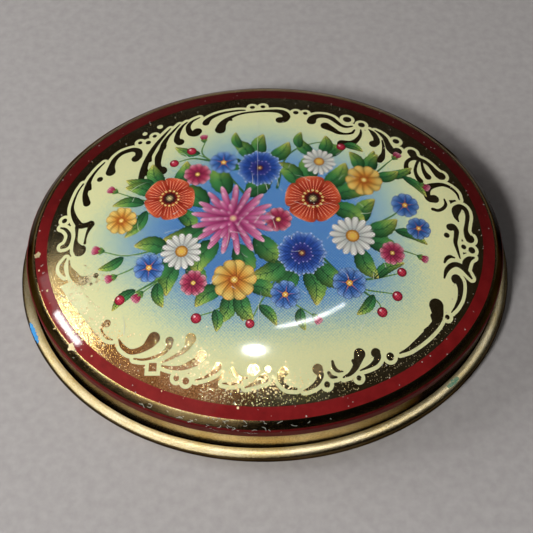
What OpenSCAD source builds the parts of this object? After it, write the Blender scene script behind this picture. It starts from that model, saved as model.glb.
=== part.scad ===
// Oval slip-lid candy tin of thin tinplate: a domed lid over a body wall with a seamed bottom.
// The origin is the middle of the footprint on the table, X runs along the length and +Z is up.
// The plan is an oval of four tangent arcs on 3-4-5 triangles, so that each bent sheet is one
// profile swept about four centres. A profile's x is measured outward from the lid's skirt.

/* [Lid] */
// Length of the lid over its skirt
lid_length = 76; // [70:1:84]
// Width of the lid over its skirt
lid_width = 63; // [58:1:66]
// Height of the skirt from the underside of its curl to the shoulder
skirt_height = 8.45; // [6:0.05:12]
// Outer radius of the bend from the skirt to the dome
shoulder_radius = 1.35; // [0.8:0.05:2]
// Slope of the dome where it leaves the shoulder, in degrees
dome_slope = 24.6; // [15:0.2:32]
// Width of the level strip round the middle of the dome
crown_flat = 1; // [0.6:0.1:2]
// Outer diameter of the curl along the lower edge of the skirt
curl_diameter = 2.4; // [1.8:0.1:3]
// Angle that the sheet turns through in the curl, in degrees
curl_turn = 298; // [270:1:305]

/* [Base] */
// Outer diameter of the roll along the top edge of the wall
roll_diameter = 1.3; // [1.1:0.1:1.8]
// Angle that the sheet turns through in the roll, in degrees
roll_turn = 280; // [240:1:290]
// Width of the lap where the ends of the wall strip meet, at the back
lap_width = 4; // [3:0.5:6]
// Height of the double seam that the tin stands on
seam_height = 2.4; // [2.2:0.1:3]
// Height of the underside of the bottom panel above the table
panel_recess = 1.5; // [1.3:0.1:1.7]
// Distance of the step in the bottom panel from the lid's skirt
step_inset = 7; // [5:0.5:10]
// Rise of the panel inside its step
step_rise = 0.6; // [0.4:0.1:0.9]
// Inner radius of the bends in the bottom plate
plate_radius = 0.25; // [0.2:0.05:0.3]

/* [Sheet and fits] */
// Thickness of the tinplate
sheet = 0.25; // [0.2:0.01:0.28]
// Gap between the lid's skirt and the wall
lid_fit = 0.2; // [0.15:0.05:0.4]
// Gap between the closed lid's curl and the top of the seam
lid_rest = 0.25; // [0.2:0.05:0.5]
// Gap between the top of the wall and the start of the lid's shoulder
wall_headroom = 0.4; // [0.3:0.1:1.5]
// Sealing film between the layers of the seam
seam_film = 0.02; // [0.01:0.01:0.04]

/* [Hidden] */
$fn = 180;
// How far a bend's short flats may stand off its true arc
bend_tolerance = 0.008;

// Radii and centres of the oval: each arc's ends lie on lines that rise 4 in 3
oval_unit = (lid_length - lid_width) / 4;
end_centre = 3 * oval_unit;
side_centre = 4 * oval_unit;
end_radius = lid_length / 2 - end_centre;
side_radius = lid_width / 2 + side_centre;
joint_line = [3 / 5, 4 / 5];

// Heights of the lid, and the arcs of its curl and dome
lid_bottom = seam_height + lid_rest;
curl_mid = (curl_diameter - sheet) / 2;
curl_z = lid_bottom + curl_diameter / 2;
skirt_mid = -sheet / 2;
shoulder_z = lid_bottom + skirt_height;
shoulder_depth = shoulder_radius * (1 - sin(dome_slope));
crown_edge = crown_flat - end_radius;
dome_radius = (-crown_edge - shoulder_depth) / sin(dome_slope);
crown_z = shoulder_z + shoulder_radius * cos(dome_slope) + dome_radius * (1 - cos(dome_slope));

// Middles of the five layers of the seam, from the plate's upright to its outer rim
layer_step = sheet + seam_film;
wall_mid = -sheet - lid_fit - sheet / 2;
plate_upright_mid = wall_mid - sheet;
plate_hook_mid = wall_mid + layer_step;
wall_hook_mid = wall_mid + 2 * layer_step;
plate_rim_mid = wall_mid + 3 * layer_step;

// Heights of the turns in the seam, and how far each hook stops short of the other's turn
hook_stop = 0.1;
wall_turn_z = sheet + seam_film + layer_step + sheet / 2;
plate_turn_z = seam_height - layer_step - sheet / 2;

// Heights of the wall's roll and of the two levels of the bottom panel
roll_mid = (roll_diameter - sheet) / 2;
roll_z = shoulder_z - wall_headroom - roll_diameter / 2;
plate_bend = plate_radius + sheet / 2;
foot_z = sheet / 2 + plate_bend;
panel_mid = panel_recess + sheet / 2;
raised_mid = panel_mid + step_rise;
step_bend = 0.5;
step_angle = acos(1 - step_rise / (2 * step_bend));
step_reach = step_bend * sin(step_angle);

// A bend is [centre, radius of the sheet's middle, start angle, end angle], and the end of a sheet
// is a bend of no radius. These are the points along one side of it, 1 for left and -1 for right.
function bend_points(bend, side) =
    let (
        radius = bend[1],
        turn = bend[3] - bend[2],
        sense = turn >= 0 ? 1 : -1,
        flat_angle = 2 * acos(1 - bend_tolerance / (radius + sheet)),
        flats = ceil(abs(turn) / flat_angle)
    )
    [
        for (i = [0:flats])
            let (angle = bend[2] + turn * (flats == 0 ? 0 : i / flats))
                bend[0] + (radius - side * sense * sheet / 2) * [cos(angle), sin(angle)]
    ];

// Outline of a sheet that runs straight from bend to bend
module sheet_profile(bends) {
    left = [for (bend = bends) each bend_points(bend, 1)];
    right = [for (bend = bends) each bend_points(bend, -1)];
    polygon(concat(left, [for (i = [len(right) - 1:-1:0]) right[i]]));
}

// Prism over one arc's share of the plan, seen from its centre: around the X axis or the Y axis
module arc_share(points) {
    reach = 2 * side_radius;
    share_height = 2 * crown_z;
    translate([0, 0, -crown_z / 2]) linear_extrude(share_height)
        polygon(concat([[0, 0]], [for (point = points) reach * point]));
}

// Sweeps a profile round the oval: two end arcs and two side arcs
module sweep_oval() {
    for (turn = [0, 180])
        rotate(turn) {
            translate([end_centre, 0, 0]) intersection() {
                rotate_extrude() translate([end_radius, 0]) children();
                arc_share([[joint_line.x, -joint_line.y], [1.5, 0], joint_line]);
            }
            translate([0, -side_centre, 0]) intersection() {
                rotate_extrude() translate([side_radius, 0]) children();
                arc_share([joint_line, [0, 1.5], [-joint_line.x, joint_line.y]]);
            }
        }
}

// Level plate that closes the middle of a swept sheet and laps onto its level inner edge
module middle_plate(middle) {
    lens_radius = side_radius - end_radius + crown_flat / 2;
    translate([0, 0, middle - sheet / 2]) linear_extrude(sheet) intersection() {
        translate([0, side_centre]) circle(lens_radius);
        translate([0, -side_centre]) circle(lens_radius);
    }
}

// Drawn lid: dome, shoulder, skirt, and the outward curl along its lower edge
module lid() {
    crown_mid = crown_z - sheet / 2;
    color("#B3904F") union() {
        sweep_oval() sheet_profile([
            [[-end_radius, crown_mid], 0, 270, 270],
            [[crown_edge, crown_z - dome_radius], dome_radius - sheet / 2, 90, 90 - dome_slope],
            [[-shoulder_radius, shoulder_z], shoulder_radius - sheet / 2, 90 - dome_slope, 0],
            [[skirt_mid + curl_mid, curl_z], curl_mid, 180, 180 + curl_turn],
        ]);
        middle_plate(crown_mid);
    }
}

// Wall strip: inward roll on top, upright wall with its lap, and the hook that the plate locks onto
module body_wall() {
    lap_angle = lap_width / side_radius * 180 / PI;
    lap_high = roll_z - roll_diameter / 2;
    color("#C2A564") union() {
        sweep_oval() sheet_profile([
            [[wall_mid - roll_mid, roll_z], roll_mid, roll_turn, 0],
            [[plate_hook_mid, wall_turn_z], layer_step, 180, 360],
            [[wall_hook_mid, plate_turn_z - hook_stop], 0, 0, 0],
        ]);
        translate([0, -side_centre, 0]) rotate(90 - lap_angle / 2) rotate_extrude(angle = lap_angle)
            translate([side_radius + wall_mid - 1.5 * sheet, seam_height])
                square([1.5 * sheet, lap_high - seam_height]);
    }
}

// Bottom plate: stepped panel, upright inside the wall, foot, rim, and the hook over the wall's own
module bottom_plate() {
    color("#B99A58") union() {
        sweep_oval() sheet_profile([
            [[-end_radius, raised_mid], 0, 270, 270],
            [[-step_inset - step_reach, raised_mid - step_bend], step_bend, 90, 90 - step_angle],
            [[-step_inset + step_reach, panel_mid + step_bend], step_bend, 270 - step_angle, 270],
            [[plate_upright_mid - plate_bend, panel_mid - plate_bend], plate_bend, 90, 0],
            [[plate_upright_mid + plate_bend, foot_z], plate_bend, 180, 270],
            [[plate_rim_mid - plate_bend, foot_z], plate_bend, 270, 360],
            [[wall_hook_mid, plate_turn_z], layer_step, 0, 180],
            [[plate_hook_mid, wall_turn_z + hook_stop], 0, 180, 180],
        ]);
        middle_plate(raised_mid);
    }
}

lid();
body_wall();
bottom_plate();
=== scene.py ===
import math
import random
import bpy
import numpy as np
from mathutils import Matrix, Vector


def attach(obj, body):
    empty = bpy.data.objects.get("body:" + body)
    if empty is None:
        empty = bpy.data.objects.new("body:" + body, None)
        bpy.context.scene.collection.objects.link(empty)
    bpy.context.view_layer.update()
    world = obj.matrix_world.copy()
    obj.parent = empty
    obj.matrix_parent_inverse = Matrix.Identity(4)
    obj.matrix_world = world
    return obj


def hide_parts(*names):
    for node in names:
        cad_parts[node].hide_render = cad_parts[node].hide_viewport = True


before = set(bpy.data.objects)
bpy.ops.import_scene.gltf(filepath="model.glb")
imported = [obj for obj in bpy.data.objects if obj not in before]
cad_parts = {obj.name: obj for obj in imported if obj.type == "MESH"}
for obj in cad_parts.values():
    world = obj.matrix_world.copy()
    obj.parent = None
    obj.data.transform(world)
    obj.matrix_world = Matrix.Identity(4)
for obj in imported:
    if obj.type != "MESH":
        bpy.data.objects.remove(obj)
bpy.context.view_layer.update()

# Bottom plate: a stamped oval of gold-lacquered tinplate with one raised step in its panel.
# Its edge is turned down for a foot and hooked over the wall's flange in a double seam.
# Lengths are in mm: out from the lid's skirt, which is a true ellipse, and up from the table.
MM = 0.001
SHEET = 0.25
LID_LENGTH = 76.0
LID_WIDTH = 63.0
SHARP_BEND = math.radians(50)
AROUND = 440
turns = np.pi / 2 + np.arange(AROUND) * 2 * np.pi / AROUND
oval_line = np.column_stack([LID_LENGTH / 2 * np.cos(turns), LID_WIDTH / 2 * np.sin(turns)])
oval_out = np.column_stack([LID_WIDTH * np.cos(turns), LID_LENGTH * np.sin(turns)])
oval_out /= np.linalg.norm(oval_out, axis=1)[:, None]


def linear(colour):
    """An sRGB hex colour as linear red, green, blue and alpha."""
    shares = [int(colour[i:i + 2], 16) / 255 for i in (1, 3, 5)]
    return [s / 12.92 if s <= 0.04045 else ((s + 0.055) / 1.055) ** 2.4 for s in shares] + [1.0]


def node(tree, kind, inputs=None, stops=(), **settings):
    """Adds one shader node with its settings, its constants, the links into it and a ramp's colours."""
    made = tree.nodes.new("ShaderNode" + kind)
    for name, value in settings.items():
        setattr(made, name, value)
    for place, colour in stops[2:]:
        made.color_ramp.elements.new(place)
    for number, (place, colour) in enumerate(stops):
        made.color_ramp.elements[number].position = place
        made.color_ramp.elements[number].color = linear(colour)
    for socket, value in (inputs or {}).items():
        if isinstance(value, bpy.types.NodeSocket):
            tree.links.new(value, made.inputs[socket])
        else:
            made.inputs[socket].default_value = value
    return made


def new_material(name):
    """An empty node material and its principled shader, already wired to the output."""
    material = bpy.data.materials.new(name)
    material.use_nodes = True
    tree = material.node_tree
    tree.nodes.clear()
    shader = node(tree, "BsdfPrincipled")
    node(tree, "OutputMaterial", {"Surface": shader.outputs["BSDF"]})
    return material, tree, shader


def bend_line(bends, flat_angle=9):
    """Middle line of a sheet that runs straight from bend to bend: outward and up, in mm.
    A bend is its centre, the radius of the sheet's middle, and its start and end angle in degrees."""
    line = []
    for (centre_out, centre_up), radius, start, end in bends:
        flats = math.ceil(abs(end - start) / flat_angle) if radius else 0
        for i in range(flats + 1):
            angle = math.radians(start + (end - start) * (i / flats if flats else 0))
            line.append((centre_out + radius * math.cos(angle), centre_up + radius * math.sin(angle)))
    return line


def swept(line):
    """The rings of points that a middle line sweeps round the oval."""
    return [np.column_stack([oval_line + out * oval_out, np.full(AROUND, up)]) for out, up in line]


def pressed_sheet(name, rings, closed_middle):
    """One piece of bent sheet, with both faces and its raw edges, from its middle surface's rings."""
    middle = np.array(rings)
    steps = np.diff(middle, axis=0)
    steps /= np.linalg.norm(steps, axis=2)[:, :, None]
    along = np.concatenate([steps[:1], steps[1:] + steps[:-1], steps[-1:]])
    around = np.roll(middle, -1, axis=1) - np.roll(middle, 1, axis=1)
    out = np.cross(along, around)
    out /= np.linalg.norm(out, axis=2)[:, :, None]
    faces_of = [middle + out * SHEET / 2, middle - out * SHEET / 2]
    count = len(rings)
    points = np.concatenate(faces_of).reshape(-1, 3) * MM
    first_inner = count * AROUND
    faces = []
    for j in range(AROUND):
        k = (j + 1) % AROUND
        for i in range(count - 1):
            a, b = i * AROUND, (i + 1) * AROUND
            faces.append((a + j, b + j, b + k, a + k))
            faces.append((first_inner + a + k, first_inner + b + k, first_inner + b + j, first_inner + a + j))
        end = (count - 1) * AROUND
        faces.append((end + j, first_inner + end + j, first_inner + end + k, end + k))
        if not closed_middle:
            faces.append((k, first_inner + k, first_inner + j, j))
    if closed_middle:
        faces.append(tuple(range(AROUND)))
        faces.append(tuple(range(first_inner + AROUND - 1, first_inner - 1, -1)))
    mesh = bpy.data.meshes.new(name)
    mesh.from_pydata(points.tolist(), [], faces)
    mesh.shade_smooth()
    mesh.set_sharp_from_angle(angle=SHARP_BEND)
    step = np.linalg.norm(np.roll(oval_line, -1, axis=0) - oval_line, axis=1)
    place = np.concatenate([[0], np.cumsum(step)[:-1]]) * MM
    around_rim = mesh.attributes.new("around_rim", "FLOAT", "POINT")
    around_rim.data.foreach_set("value", np.tile(place, 2 * count).astype(np.float32))
    piece = bpy.data.objects.new(name, mesh)
    bpy.context.scene.collection.objects.link(piece)
    return piece


# Gold-lacquered tinplate: bright rolled tin under a clear yellow lacquer. It mirrors its surroundings
# in warm gold, softened by the lacquer's orange peel. Where it is rubbed it is paler, duller and pitted.
# Where painted shade is laid on, it is brown, and at full painted shade it is dull and matt. This painted
# shade stands for the dark room that the gold would mirror.
# The sizes are those of the orange peel, the clouding, and the draw lines, dents and pits of worn tin.
gold_lacquer, tree, shader = new_material("gold_lacquered_tinplate")
LACQUER_GRAIN = 0.16
LACQUER_CLOUD = 6.0
DRAW_LINE = 0.3
DENT = 0.24
PIT = 0.2
where = node(tree, "TexCoord").outputs["Object"]
cloud = node(tree, "TexNoise", {"Vector": where, "Scale": 1 / (LACQUER_CLOUD * MM), "Detail": 5.0})
grain = node(tree, "TexNoise", {"Vector": where, "Scale": 1 / (LACQUER_GRAIN * MM), "Detail": 2.0})
rim_place = node(tree, "Attribute", attribute_name="around_rim").outputs["Fac"]
draw_lines = node(tree, "TexNoise", {"W": rim_place, "Scale": 1 / (DRAW_LINE * MM), "Detail": 3.0},
                  noise_dimensions="1D")
rubbed = node(tree, "Attribute", attribute_name="rubbed").outputs["Fac"]
tone = node(tree, "Mix", {"Factor": 0.6, "A": cloud.outputs["Fac"], "B": grain.outputs["Fac"]},
            data_type="FLOAT")
lacquer_colour = node(tree, "ValToRGB", {"Fac": tone.outputs["Result"]},
                      stops=[(0.36, "#A2824A"), (0.5, "#D2B579"), (0.64, "#F6E9BE")])
rubbed_colour = node(tree, "ValToRGB", {"Fac": tone.outputs["Result"]},
                     stops=[(0.38, "#E6CE8A"), (0.62, "#FFF3CE")])
bright = node(tree, "Mix", {"Factor": rubbed, "A": lacquer_colour.outputs["Color"],
                            "B": rubbed_colour.outputs["Color"]}, data_type="RGBA")
# Painted shade: how far the gold is browned and dulled to stand for dark reflections.
painted_shade = node(tree, "Attribute", attribute_name="painted_shade").outputs["Fac"]
painted_shade_colour = node(tree, "ValToRGB", {"Fac": cloud.outputs["Fac"]},
                      stops=[(0.35, "#2C2213"), (0.65, "#4A3A20")])
colour = node(tree, "Mix", {"Factor": painted_shade, "A": bright.outputs["Result"],
                            "B": painted_shade_colour.outputs["Color"]}, data_type="RGBA")
gloss = node(tree, "MapRange", {"Value": grain.outputs["Fac"], "From Min": 0.35, "From Max": 0.65,
                                "To Min": 0.07, "To Max": 0.15})
worn_gloss = node(tree, "MapRange", {"Value": rubbed, "To Min": 0.0, "To Max": 0.36})
worn_metal = node(tree, "MapRange", {"Value": rubbed, "To Min": 1.0, "To Max": 0.95})
MATT_FROM = 0.95
under_painted_shade = node(tree, "MapRange", {"Value": painted_shade, "From Min": MATT_FROM, "From Max": 1.0,
                                        "To Min": 1.0, "To Max": 0.0})
bare_metal = node(tree, "Math", {0: worn_metal.outputs["Result"], 1: under_painted_shade.outputs["Result"]},
                  operation="MULTIPLY")
painted_shade_shine = node(tree, "MapRange", {"Value": painted_shade, "From Min": MATT_FROM, "From Max": 1.0,
                                        "To Min": 0.5, "To Max": 0.0})
roughness = node(tree, "Math", {0: gloss.outputs["Result"], 1: worn_gloss.outputs["Result"]}, operation="ADD")
edge_shine = node(tree, "ValToRGB", {"Fac": painted_shade}, stops=[(0.0, "#FFFFFF"), (1.0, "#3A2A18")])
grain_bump = node(tree, "Bump", {"Height": grain.outputs["Fac"], "Strength": 0.4, "Distance": 0.05 * MM})
specks = node(tree, "TexNoise", {"Vector": where, "Scale": 1 / (PIT * MM), "Detail": 1.0})
pits = node(tree, "MapRange", {"Value": specks.outputs["Fac"], "From Min": 0.6, "From Max": 0.75})
pitted = node(tree, "MapRange", {"Value": rubbed, "To Min": 0.3, "To Max": 1.0})
pit_bump = node(tree, "Bump", {"Height": pits.outputs["Result"], "Strength": pitted.outputs["Result"],
                               "Distance": 0.03 * MM, "Normal": grain_bump.outputs["Normal"]})
dents = node(tree, "TexNoise", {"Vector": where, "Scale": 1 / (DENT * MM), "Detail": 3.0})
dent_bump = node(tree, "Bump", {"Height": dents.outputs["Fac"], "Strength": rubbed,
                                "Distance": 0.06 * MM, "Normal": pit_bump.outputs["Normal"]})
line_bump = node(tree, "Bump", {"Height": draw_lines.outputs["Fac"], "Strength": rubbed,
                                "Distance": 0.015 * MM, "Normal": dent_bump.outputs["Normal"]})
for socket, link in (("Base Color", colour.outputs["Result"]), ("Roughness", roughness.outputs["Value"]),
                     ("Metallic", bare_metal.outputs["Value"]),
                     ("Specular IOR Level", painted_shade_shine.outputs["Result"]),
                     ("Specular Tint", edge_shine.outputs["Color"]), ("Normal", line_bump.outputs["Normal"])):
    tree.links.new(link, shader.inputs[socket])


def set_wear(piece, kind, shares):
    """Stores how rubbed each ring of a sheet's points is, or how much painted shade it has, for both of its
    faces.
    A ring has one share, or one for each place round the rim."""
    wear = piece.data.attributes.new(kind, "FLOAT", "POINT")
    by_point = np.concatenate([np.broadcast_to(share, AROUND) for share in shares])
    wear.data.foreach_set("value", np.tile(by_point, 2).astype(np.float32))


# The seam's layers by their distance out, the heights of its turns, and the two levels of the panel. All are
# those of the sheet's middle.
SEAM_FILM = 0.02
LAYER = SHEET + SEAM_FILM
HOOK_STOP = 0.1
WALL_MID = -0.575
UPRIGHT_MID = WALL_MID - SHEET
PLATE_HOOK_MID = WALL_MID + LAYER
WALL_HOOK_MID = WALL_MID + 2 * LAYER
RIM_MID = WALL_MID + 3 * LAYER
WALL_TURN_UP = 0.665
PLATE_TURN_UP = 2.005
PLATE_BEND = 0.375
FOOT_UP = 0.5
PANEL_UP = 1.625
RAISED_UP = 2.225
STEP_INSET = 7.0
STEP_BEND = 0.5
STEP_ANGLE = 66.4
STEP_REACH = STEP_BEND * math.sin(math.radians(STEP_ANGLE))
PANEL_START = -20.0
# Inside its first ring the panel is filled with smaller ones.
MIDDLE_SHARES = np.linspace(0.02, 1, 9)[:-1]
FOOT_HIGH = 1.0
FOOT_RUBBED = 0.3
plate_line = bend_line([
    ((PANEL_START, RAISED_UP), 0, 0, 0),
    ((-STEP_INSET - STEP_REACH, RAISED_UP - STEP_BEND), STEP_BEND, 90, 90 - STEP_ANGLE),
    ((-STEP_INSET + STEP_REACH, PANEL_UP + STEP_BEND), STEP_BEND, 270 - STEP_ANGLE, 270),
    ((UPRIGHT_MID - PLATE_BEND, PANEL_UP - PLATE_BEND), PLATE_BEND, 90, 0),
    ((UPRIGHT_MID + PLATE_BEND, FOOT_UP), PLATE_BEND, 180, 270),
    ((RIM_MID - PLATE_BEND, FOOT_UP), PLATE_BEND, 270, 360),
    ((WALL_HOOK_MID, PLATE_TURN_UP), LAYER, 0, 180),
    ((PLATE_HOOK_MID, WALL_TURN_UP + HOOK_STOP), 0, 180, 180),
])
plate_rings = swept(plate_line)
middle_rings = [plate_rings[0] * [s, s, 1] for s in MIDDLE_SHARES]
bottom_plate = pressed_sheet("bottom_plate_stamped", middle_rings + plate_rings, True)
plate_ups = [RAISED_UP] * len(middle_rings) + [up for out, up in plate_line]
set_wear(bottom_plate, "rubbed", [FOOT_RUBBED * (up < FOOT_HIGH) for up in plate_ups])
bottom_plate.data.materials.append(gold_lacquer)
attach(bottom_plate, "base")
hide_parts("bottom_plate")

# Body wall: a strip of the same tinplate bent round the oval, its top edge rolled inward so that
# it isn't sharp, its foot flanged out and locked into the bottom plate's double seam.
ROLL_MID = 0.525
ROLL_UP = 10.05
ROLL_TURN = 280
ROLL_RUBBED = 0.25
wall_line = bend_line([
    ((WALL_MID - ROLL_MID, ROLL_UP), ROLL_MID, ROLL_TURN, 0),
    ((PLATE_HOOK_MID, WALL_TURN_UP), LAYER, 180, 360),
    ((WALL_HOOK_MID, PLATE_TURN_UP - HOOK_STOP), 0, 0, 0),
])
body_wall = pressed_sheet("body_wall_strip", swept(wall_line), False)
set_wear(body_wall, "rubbed", [ROLL_RUBBED * (up > ROLL_UP) for out, up in wall_line])
body_wall.data.materials.append(gold_lacquer)
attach(body_wall, "base")
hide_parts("body_wall")

# Side lap: the inner end of the wall's strip, soldered flat over its outer end at the middle of the back.
# It is one more layer of the same tinplate, from the seam to the roll and about 4 mm wide.
LAP_LOW = 2.4
LAP_HIGH = 9.4
LAP_FACE = WALL_MID - SHEET / 2 - SHEET
LAP_COLUMNS = np.arange(-4, 5)
lap_plan = np.concatenate([oval_line[LAP_COLUMNS] + WALL_MID * oval_out[LAP_COLUMNS],
                           (oval_line[LAP_COLUMNS] + LAP_FACE * oval_out[LAP_COLUMNS])[::-1]])
corners = len(lap_plan)
points = [(x * MM, y * MM, up * MM) for up in (LAP_LOW, LAP_HIGH) for x, y in lap_plan]
faces = [(j, (j + 1) % corners, corners + (j + 1) % corners, corners + j) for j in range(corners)]
faces += [tuple(range(corners - 1, -1, -1)), tuple(range(corners, 2 * corners))]
mesh = bpy.data.meshes.new("body_wall_lap")
mesh.from_pydata(points, [], faces)
mesh.shade_smooth()
mesh.set_sharp_from_angle(angle=SHARP_BEND)
mesh.materials.append(gold_lacquer)
side_lap = bpy.data.objects.new("body_wall_lap", mesh)
bpy.context.scene.collection.objects.link(side_lap)
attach(side_lap, "base")

# Lid: one piece of tinplate drawn into a low dome with a tight shoulder and an upright skirt.
# The skirt's lower edge is curled outward into a hollow bead, its raw edge ending near the skirt.
# The dome falls from its top to its edge by a mix of squares and fourth powers, and the pulls shape the bend
# from the dome into the skirt.
DOME_TOP = 17.95
DOME_EDGE = 12.32
DOME_SHARE = 0.6
DOME_LONG = 36.83
DOME_SHORT = 30.39
DOME_START = 0.006
DOME_END = 0.985
DOME_SPACING = 0.9
DOME_RINGS = 44
SHOULDER_UP = 10.75
SHOULDER_RINGS = 15
DOME_PULL = 1.3
SKIRT_PULL = 0.4
SKIRT_RINGS = 13
SKIRT_RUBBED = 0.3
CURL_OUT = 0.95
CURL_UP = 3.85
CURL_MID = 1.056
CURL_TURN = 311.0
CURL_RINGS = 40
# Along the curl from the skirt to the raw edge: shares of its length, how rubbed it is there, and how much
# painted shade it has there, deepest on its outer side below the top.
CURL_SHARES = (0.1, 0.707, 0.81)
CURL_RUBBED = (0.1, 0.0, 1.0)
CURL_SHADE = (0.3, 1.0, 0.0)


def dome_height(x, y):
    """Height of the dome's outer face over a point of the plan, in mm."""
    spread = (x / DOME_LONG) ** 2 + (y / DOME_SHORT) ** 2
    return DOME_TOP - (DOME_TOP - DOME_EDGE) * (DOME_SHARE * spread + (1 - DOME_SHARE) * spread ** 2)


def dome_slope(x, y):
    """Rise of the dome along x and along y at a point of the plan."""
    spread = (x / DOME_LONG) ** 2 + (y / DOME_SHORT) ** 2
    pull = -2 * (DOME_TOP - DOME_EDGE) * (DOME_SHARE + 2 * (1 - DOME_SHARE) * spread)
    return pull * x / DOME_LONG ** 2, pull * y / DOME_SHORT ** 2


def on_dome(x, y, rise):
    """Points on the dome above places of the plan, lifted by rise along its normal, in mm."""
    slope_x, slope_y = dome_slope(x, y)
    length = np.sqrt(1 + slope_x ** 2 + slope_y ** 2)
    return np.stack([x - rise * slope_x / length, y - rise * slope_y / length,
                     dome_height(x, y) + rise / length], axis=-1)


def near_turn(degrees, gain, cut=0.0, most=1.0):
    """A share for each place round the oval, which is highest at a turn in degrees and falls off to both
    sides of it. A turn of 90 degrees is the back, 180 the left and 270 the front."""
    return np.clip(gain * np.cos(turns - math.radians(degrees)) - cut, 0, most)


# The raw edge of the curl is a little wavy, and at the front left it is sprung open.
EDGE_WAVE = 1.75
EDGE_SPRUNG = 24.0
random.seed(7)
edge_waves = [(n, random.uniform(0, 2 * math.pi)) for n in (3, 5, 8, 13, 21, 34, 55, 89, 144)]
edge_turn = CURL_TURN + sum(EDGE_WAVE / n ** 0.5 * np.sin(n * turns + start) for n, start in edge_waves)
edge_turn -= EDGE_SPRUNG * near_turn(232, gain=1) ** 4
# Painted shade browns the shoulder and skirt, to stand for the dark room that their gold mirrors. It is
# deepest at the back and lighter at the front and front left, where they mirror lit things.
SKIRT_SHADE = 0.9
SHOULDER_SHADE = 0.95
SHADE_GAIN = 3
lit_front = near_turn(271, gain=4, cut=3.2)
lit_front_left = near_turn(205, gain=0.64, most=0.4)
skirt_shade = SKIRT_SHADE * (1 - lit_front) * (1 - lit_front_left)
shoulder_shade = SHOULDER_SHADE + (1 - SHOULDER_SHADE) * near_turn(90, gain=2)
# Painted shade on the curl at its left and right.
curl_side_shade = near_turn(0, gain=8, cut=7.2, most=0.7) + near_turn(180, gain=8, cut=7.2, most=0.7)

lid_rings = []
lid_rubbed = []
lid_painted_shade = []
for share in DOME_END * np.linspace(DOME_START, 1, DOME_RINGS) ** DOME_SPACING:
    x, y = share * DOME_LONG * np.cos(turns), share * DOME_SHORT * np.sin(turns)
    lid_rings.append(on_dome(x, y, -SHEET / 2))
    lid_rubbed.append(0.0)
    lid_painted_shade.append(0.0)
SHOULDER_RING = len(lid_rings)
start = lid_rings[-1]
run = lid_rings[-1] - lid_rings[-2]
run /= np.linalg.norm(run, axis=1)[:, None]
skirt_top = np.column_stack([oval_line - SHEET / 2 * oval_out, np.full(AROUND, SHOULDER_UP)])
fall = np.array([0, 0, -1.0])
for share in np.linspace(0, 1, SHOULDER_RINGS)[1:]:
    h = (2 * share ** 3 - 3 * share ** 2 + 1, share ** 3 - 2 * share ** 2 + share,
         3 * share ** 2 - 2 * share ** 3, share ** 3 - share ** 2)
    lid_rings.append(h[0] * start + h[1] * DOME_PULL * run + h[2] * skirt_top + h[3] * SKIRT_PULL * fall)
    lid_rubbed.append(0.0)
    lid_painted_shade.append(np.minimum(shoulder_shade, SHADE_GAIN * share))
for up in np.linspace(SHOULDER_UP, CURL_UP, SKIRT_RINGS)[1:-1]:
    lid_rings.append(np.column_stack([oval_line - SHEET / 2 * oval_out, np.full(AROUND, up)]))
    lid_rubbed.append(SKIRT_RUBBED)
    lid_painted_shade.append(skirt_shade)
CURL_RING = len(lid_rings)
for share in np.linspace(0, 1, CURL_RINGS):
    angle = np.radians(180 + edge_turn * share)
    out = CURL_OUT + CURL_MID * np.cos(angle)
    up = CURL_UP + CURL_MID * np.sin(angle)
    lid_rings.append(np.column_stack([oval_line + out[:, None] * oval_out, up]))
    lid_rubbed.append(np.interp(share, CURL_SHARES, CURL_RUBBED))
    lid_painted_shade.append(np.maximum(curl_side_shade, np.interp(share, CURL_SHARES, CURL_SHADE)))
lid_shell = pressed_sheet("lid_shell", lid_rings, True)
set_wear(lid_shell, "rubbed", lid_rubbed)
set_wear(lid_shell, "painted_shade", lid_painted_shade)
lid_shell.data.materials.append(gold_lacquer)
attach(lid_shell, "lid")
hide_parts("lid")

# Red lines of the print: a broad ring inside the lid's shoulder and a narrow stripe round the skirt.
# They are dense litho ink, printed before the lid was pressed: the ring still shines under its varnish, and
# the stripe is scuffed. Real ink and varnish are about 0.01 mm thick. The layers lie 0.012 mm and more off
# the tin, so that each one shows.
PRESSED_IN = 0.99
# Half length, half width and shift towards the back of the ring's two edges.
RING_OUTER = (36.6, 30.1, -0.5)
RING_INNER = (34.6, 28.0, -0.8)
RING_ROWS = 7
RING_BACK_SHADE = 0.58
RED_MOTTLE = 2.2
SCUFFED_MOTTLE = 1.2
VARNISH_RIPPLE = 0.5
INK = 0.012
STRIPE_LOW = 9.0
STRIPE_HIGH = 11.12
STRIPE_ROWS = 14


def printed(x, y, rise):
    """Points of the print on the dome, which draws the flat print in a little as it is pressed."""
    return on_dome(PRESSED_IN * x, PRESSED_IN * y, rise)


def ink_piece(name, points, faces, material, values=None):
    """One printed layer on the lid from points in mm, with one ink value or colour for each point."""
    mesh = bpy.data.meshes.new(name)
    mesh.from_pydata((np.asarray(points) * MM).tolist(), [], faces)
    mesh.shade_smooth()
    if values is not None:
        values = np.asarray(values, dtype=np.float32)
        if values.ndim == 1:
            mesh.attributes.new("tint", "FLOAT", "POINT").data.foreach_set("value", values)
        else:
            mesh.attributes.new("ink", "FLOAT_COLOR", "POINT").data.foreach_set("color", values.ravel())
    mesh.materials.append(material)
    piece = bpy.data.objects.new(name, mesh)
    bpy.context.scene.collection.objects.link(piece)
    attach(piece, "lid")
    return piece


def lies_on_dome(piece):
    """Gives a printed layer the dome's own normals, so that its overlapping strokes shine as one surface."""
    places = np.array([v.co for v in piece.data.vertices]) / MM
    slope_x, slope_y = dome_slope(places[:, 0], places[:, 1])
    normals = np.column_stack([-slope_x, -slope_y, np.ones(len(places))])
    piece.data.normals_split_custom_set_from_vertices(normals / np.linalg.norm(normals, axis=1)[:, None])


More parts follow.
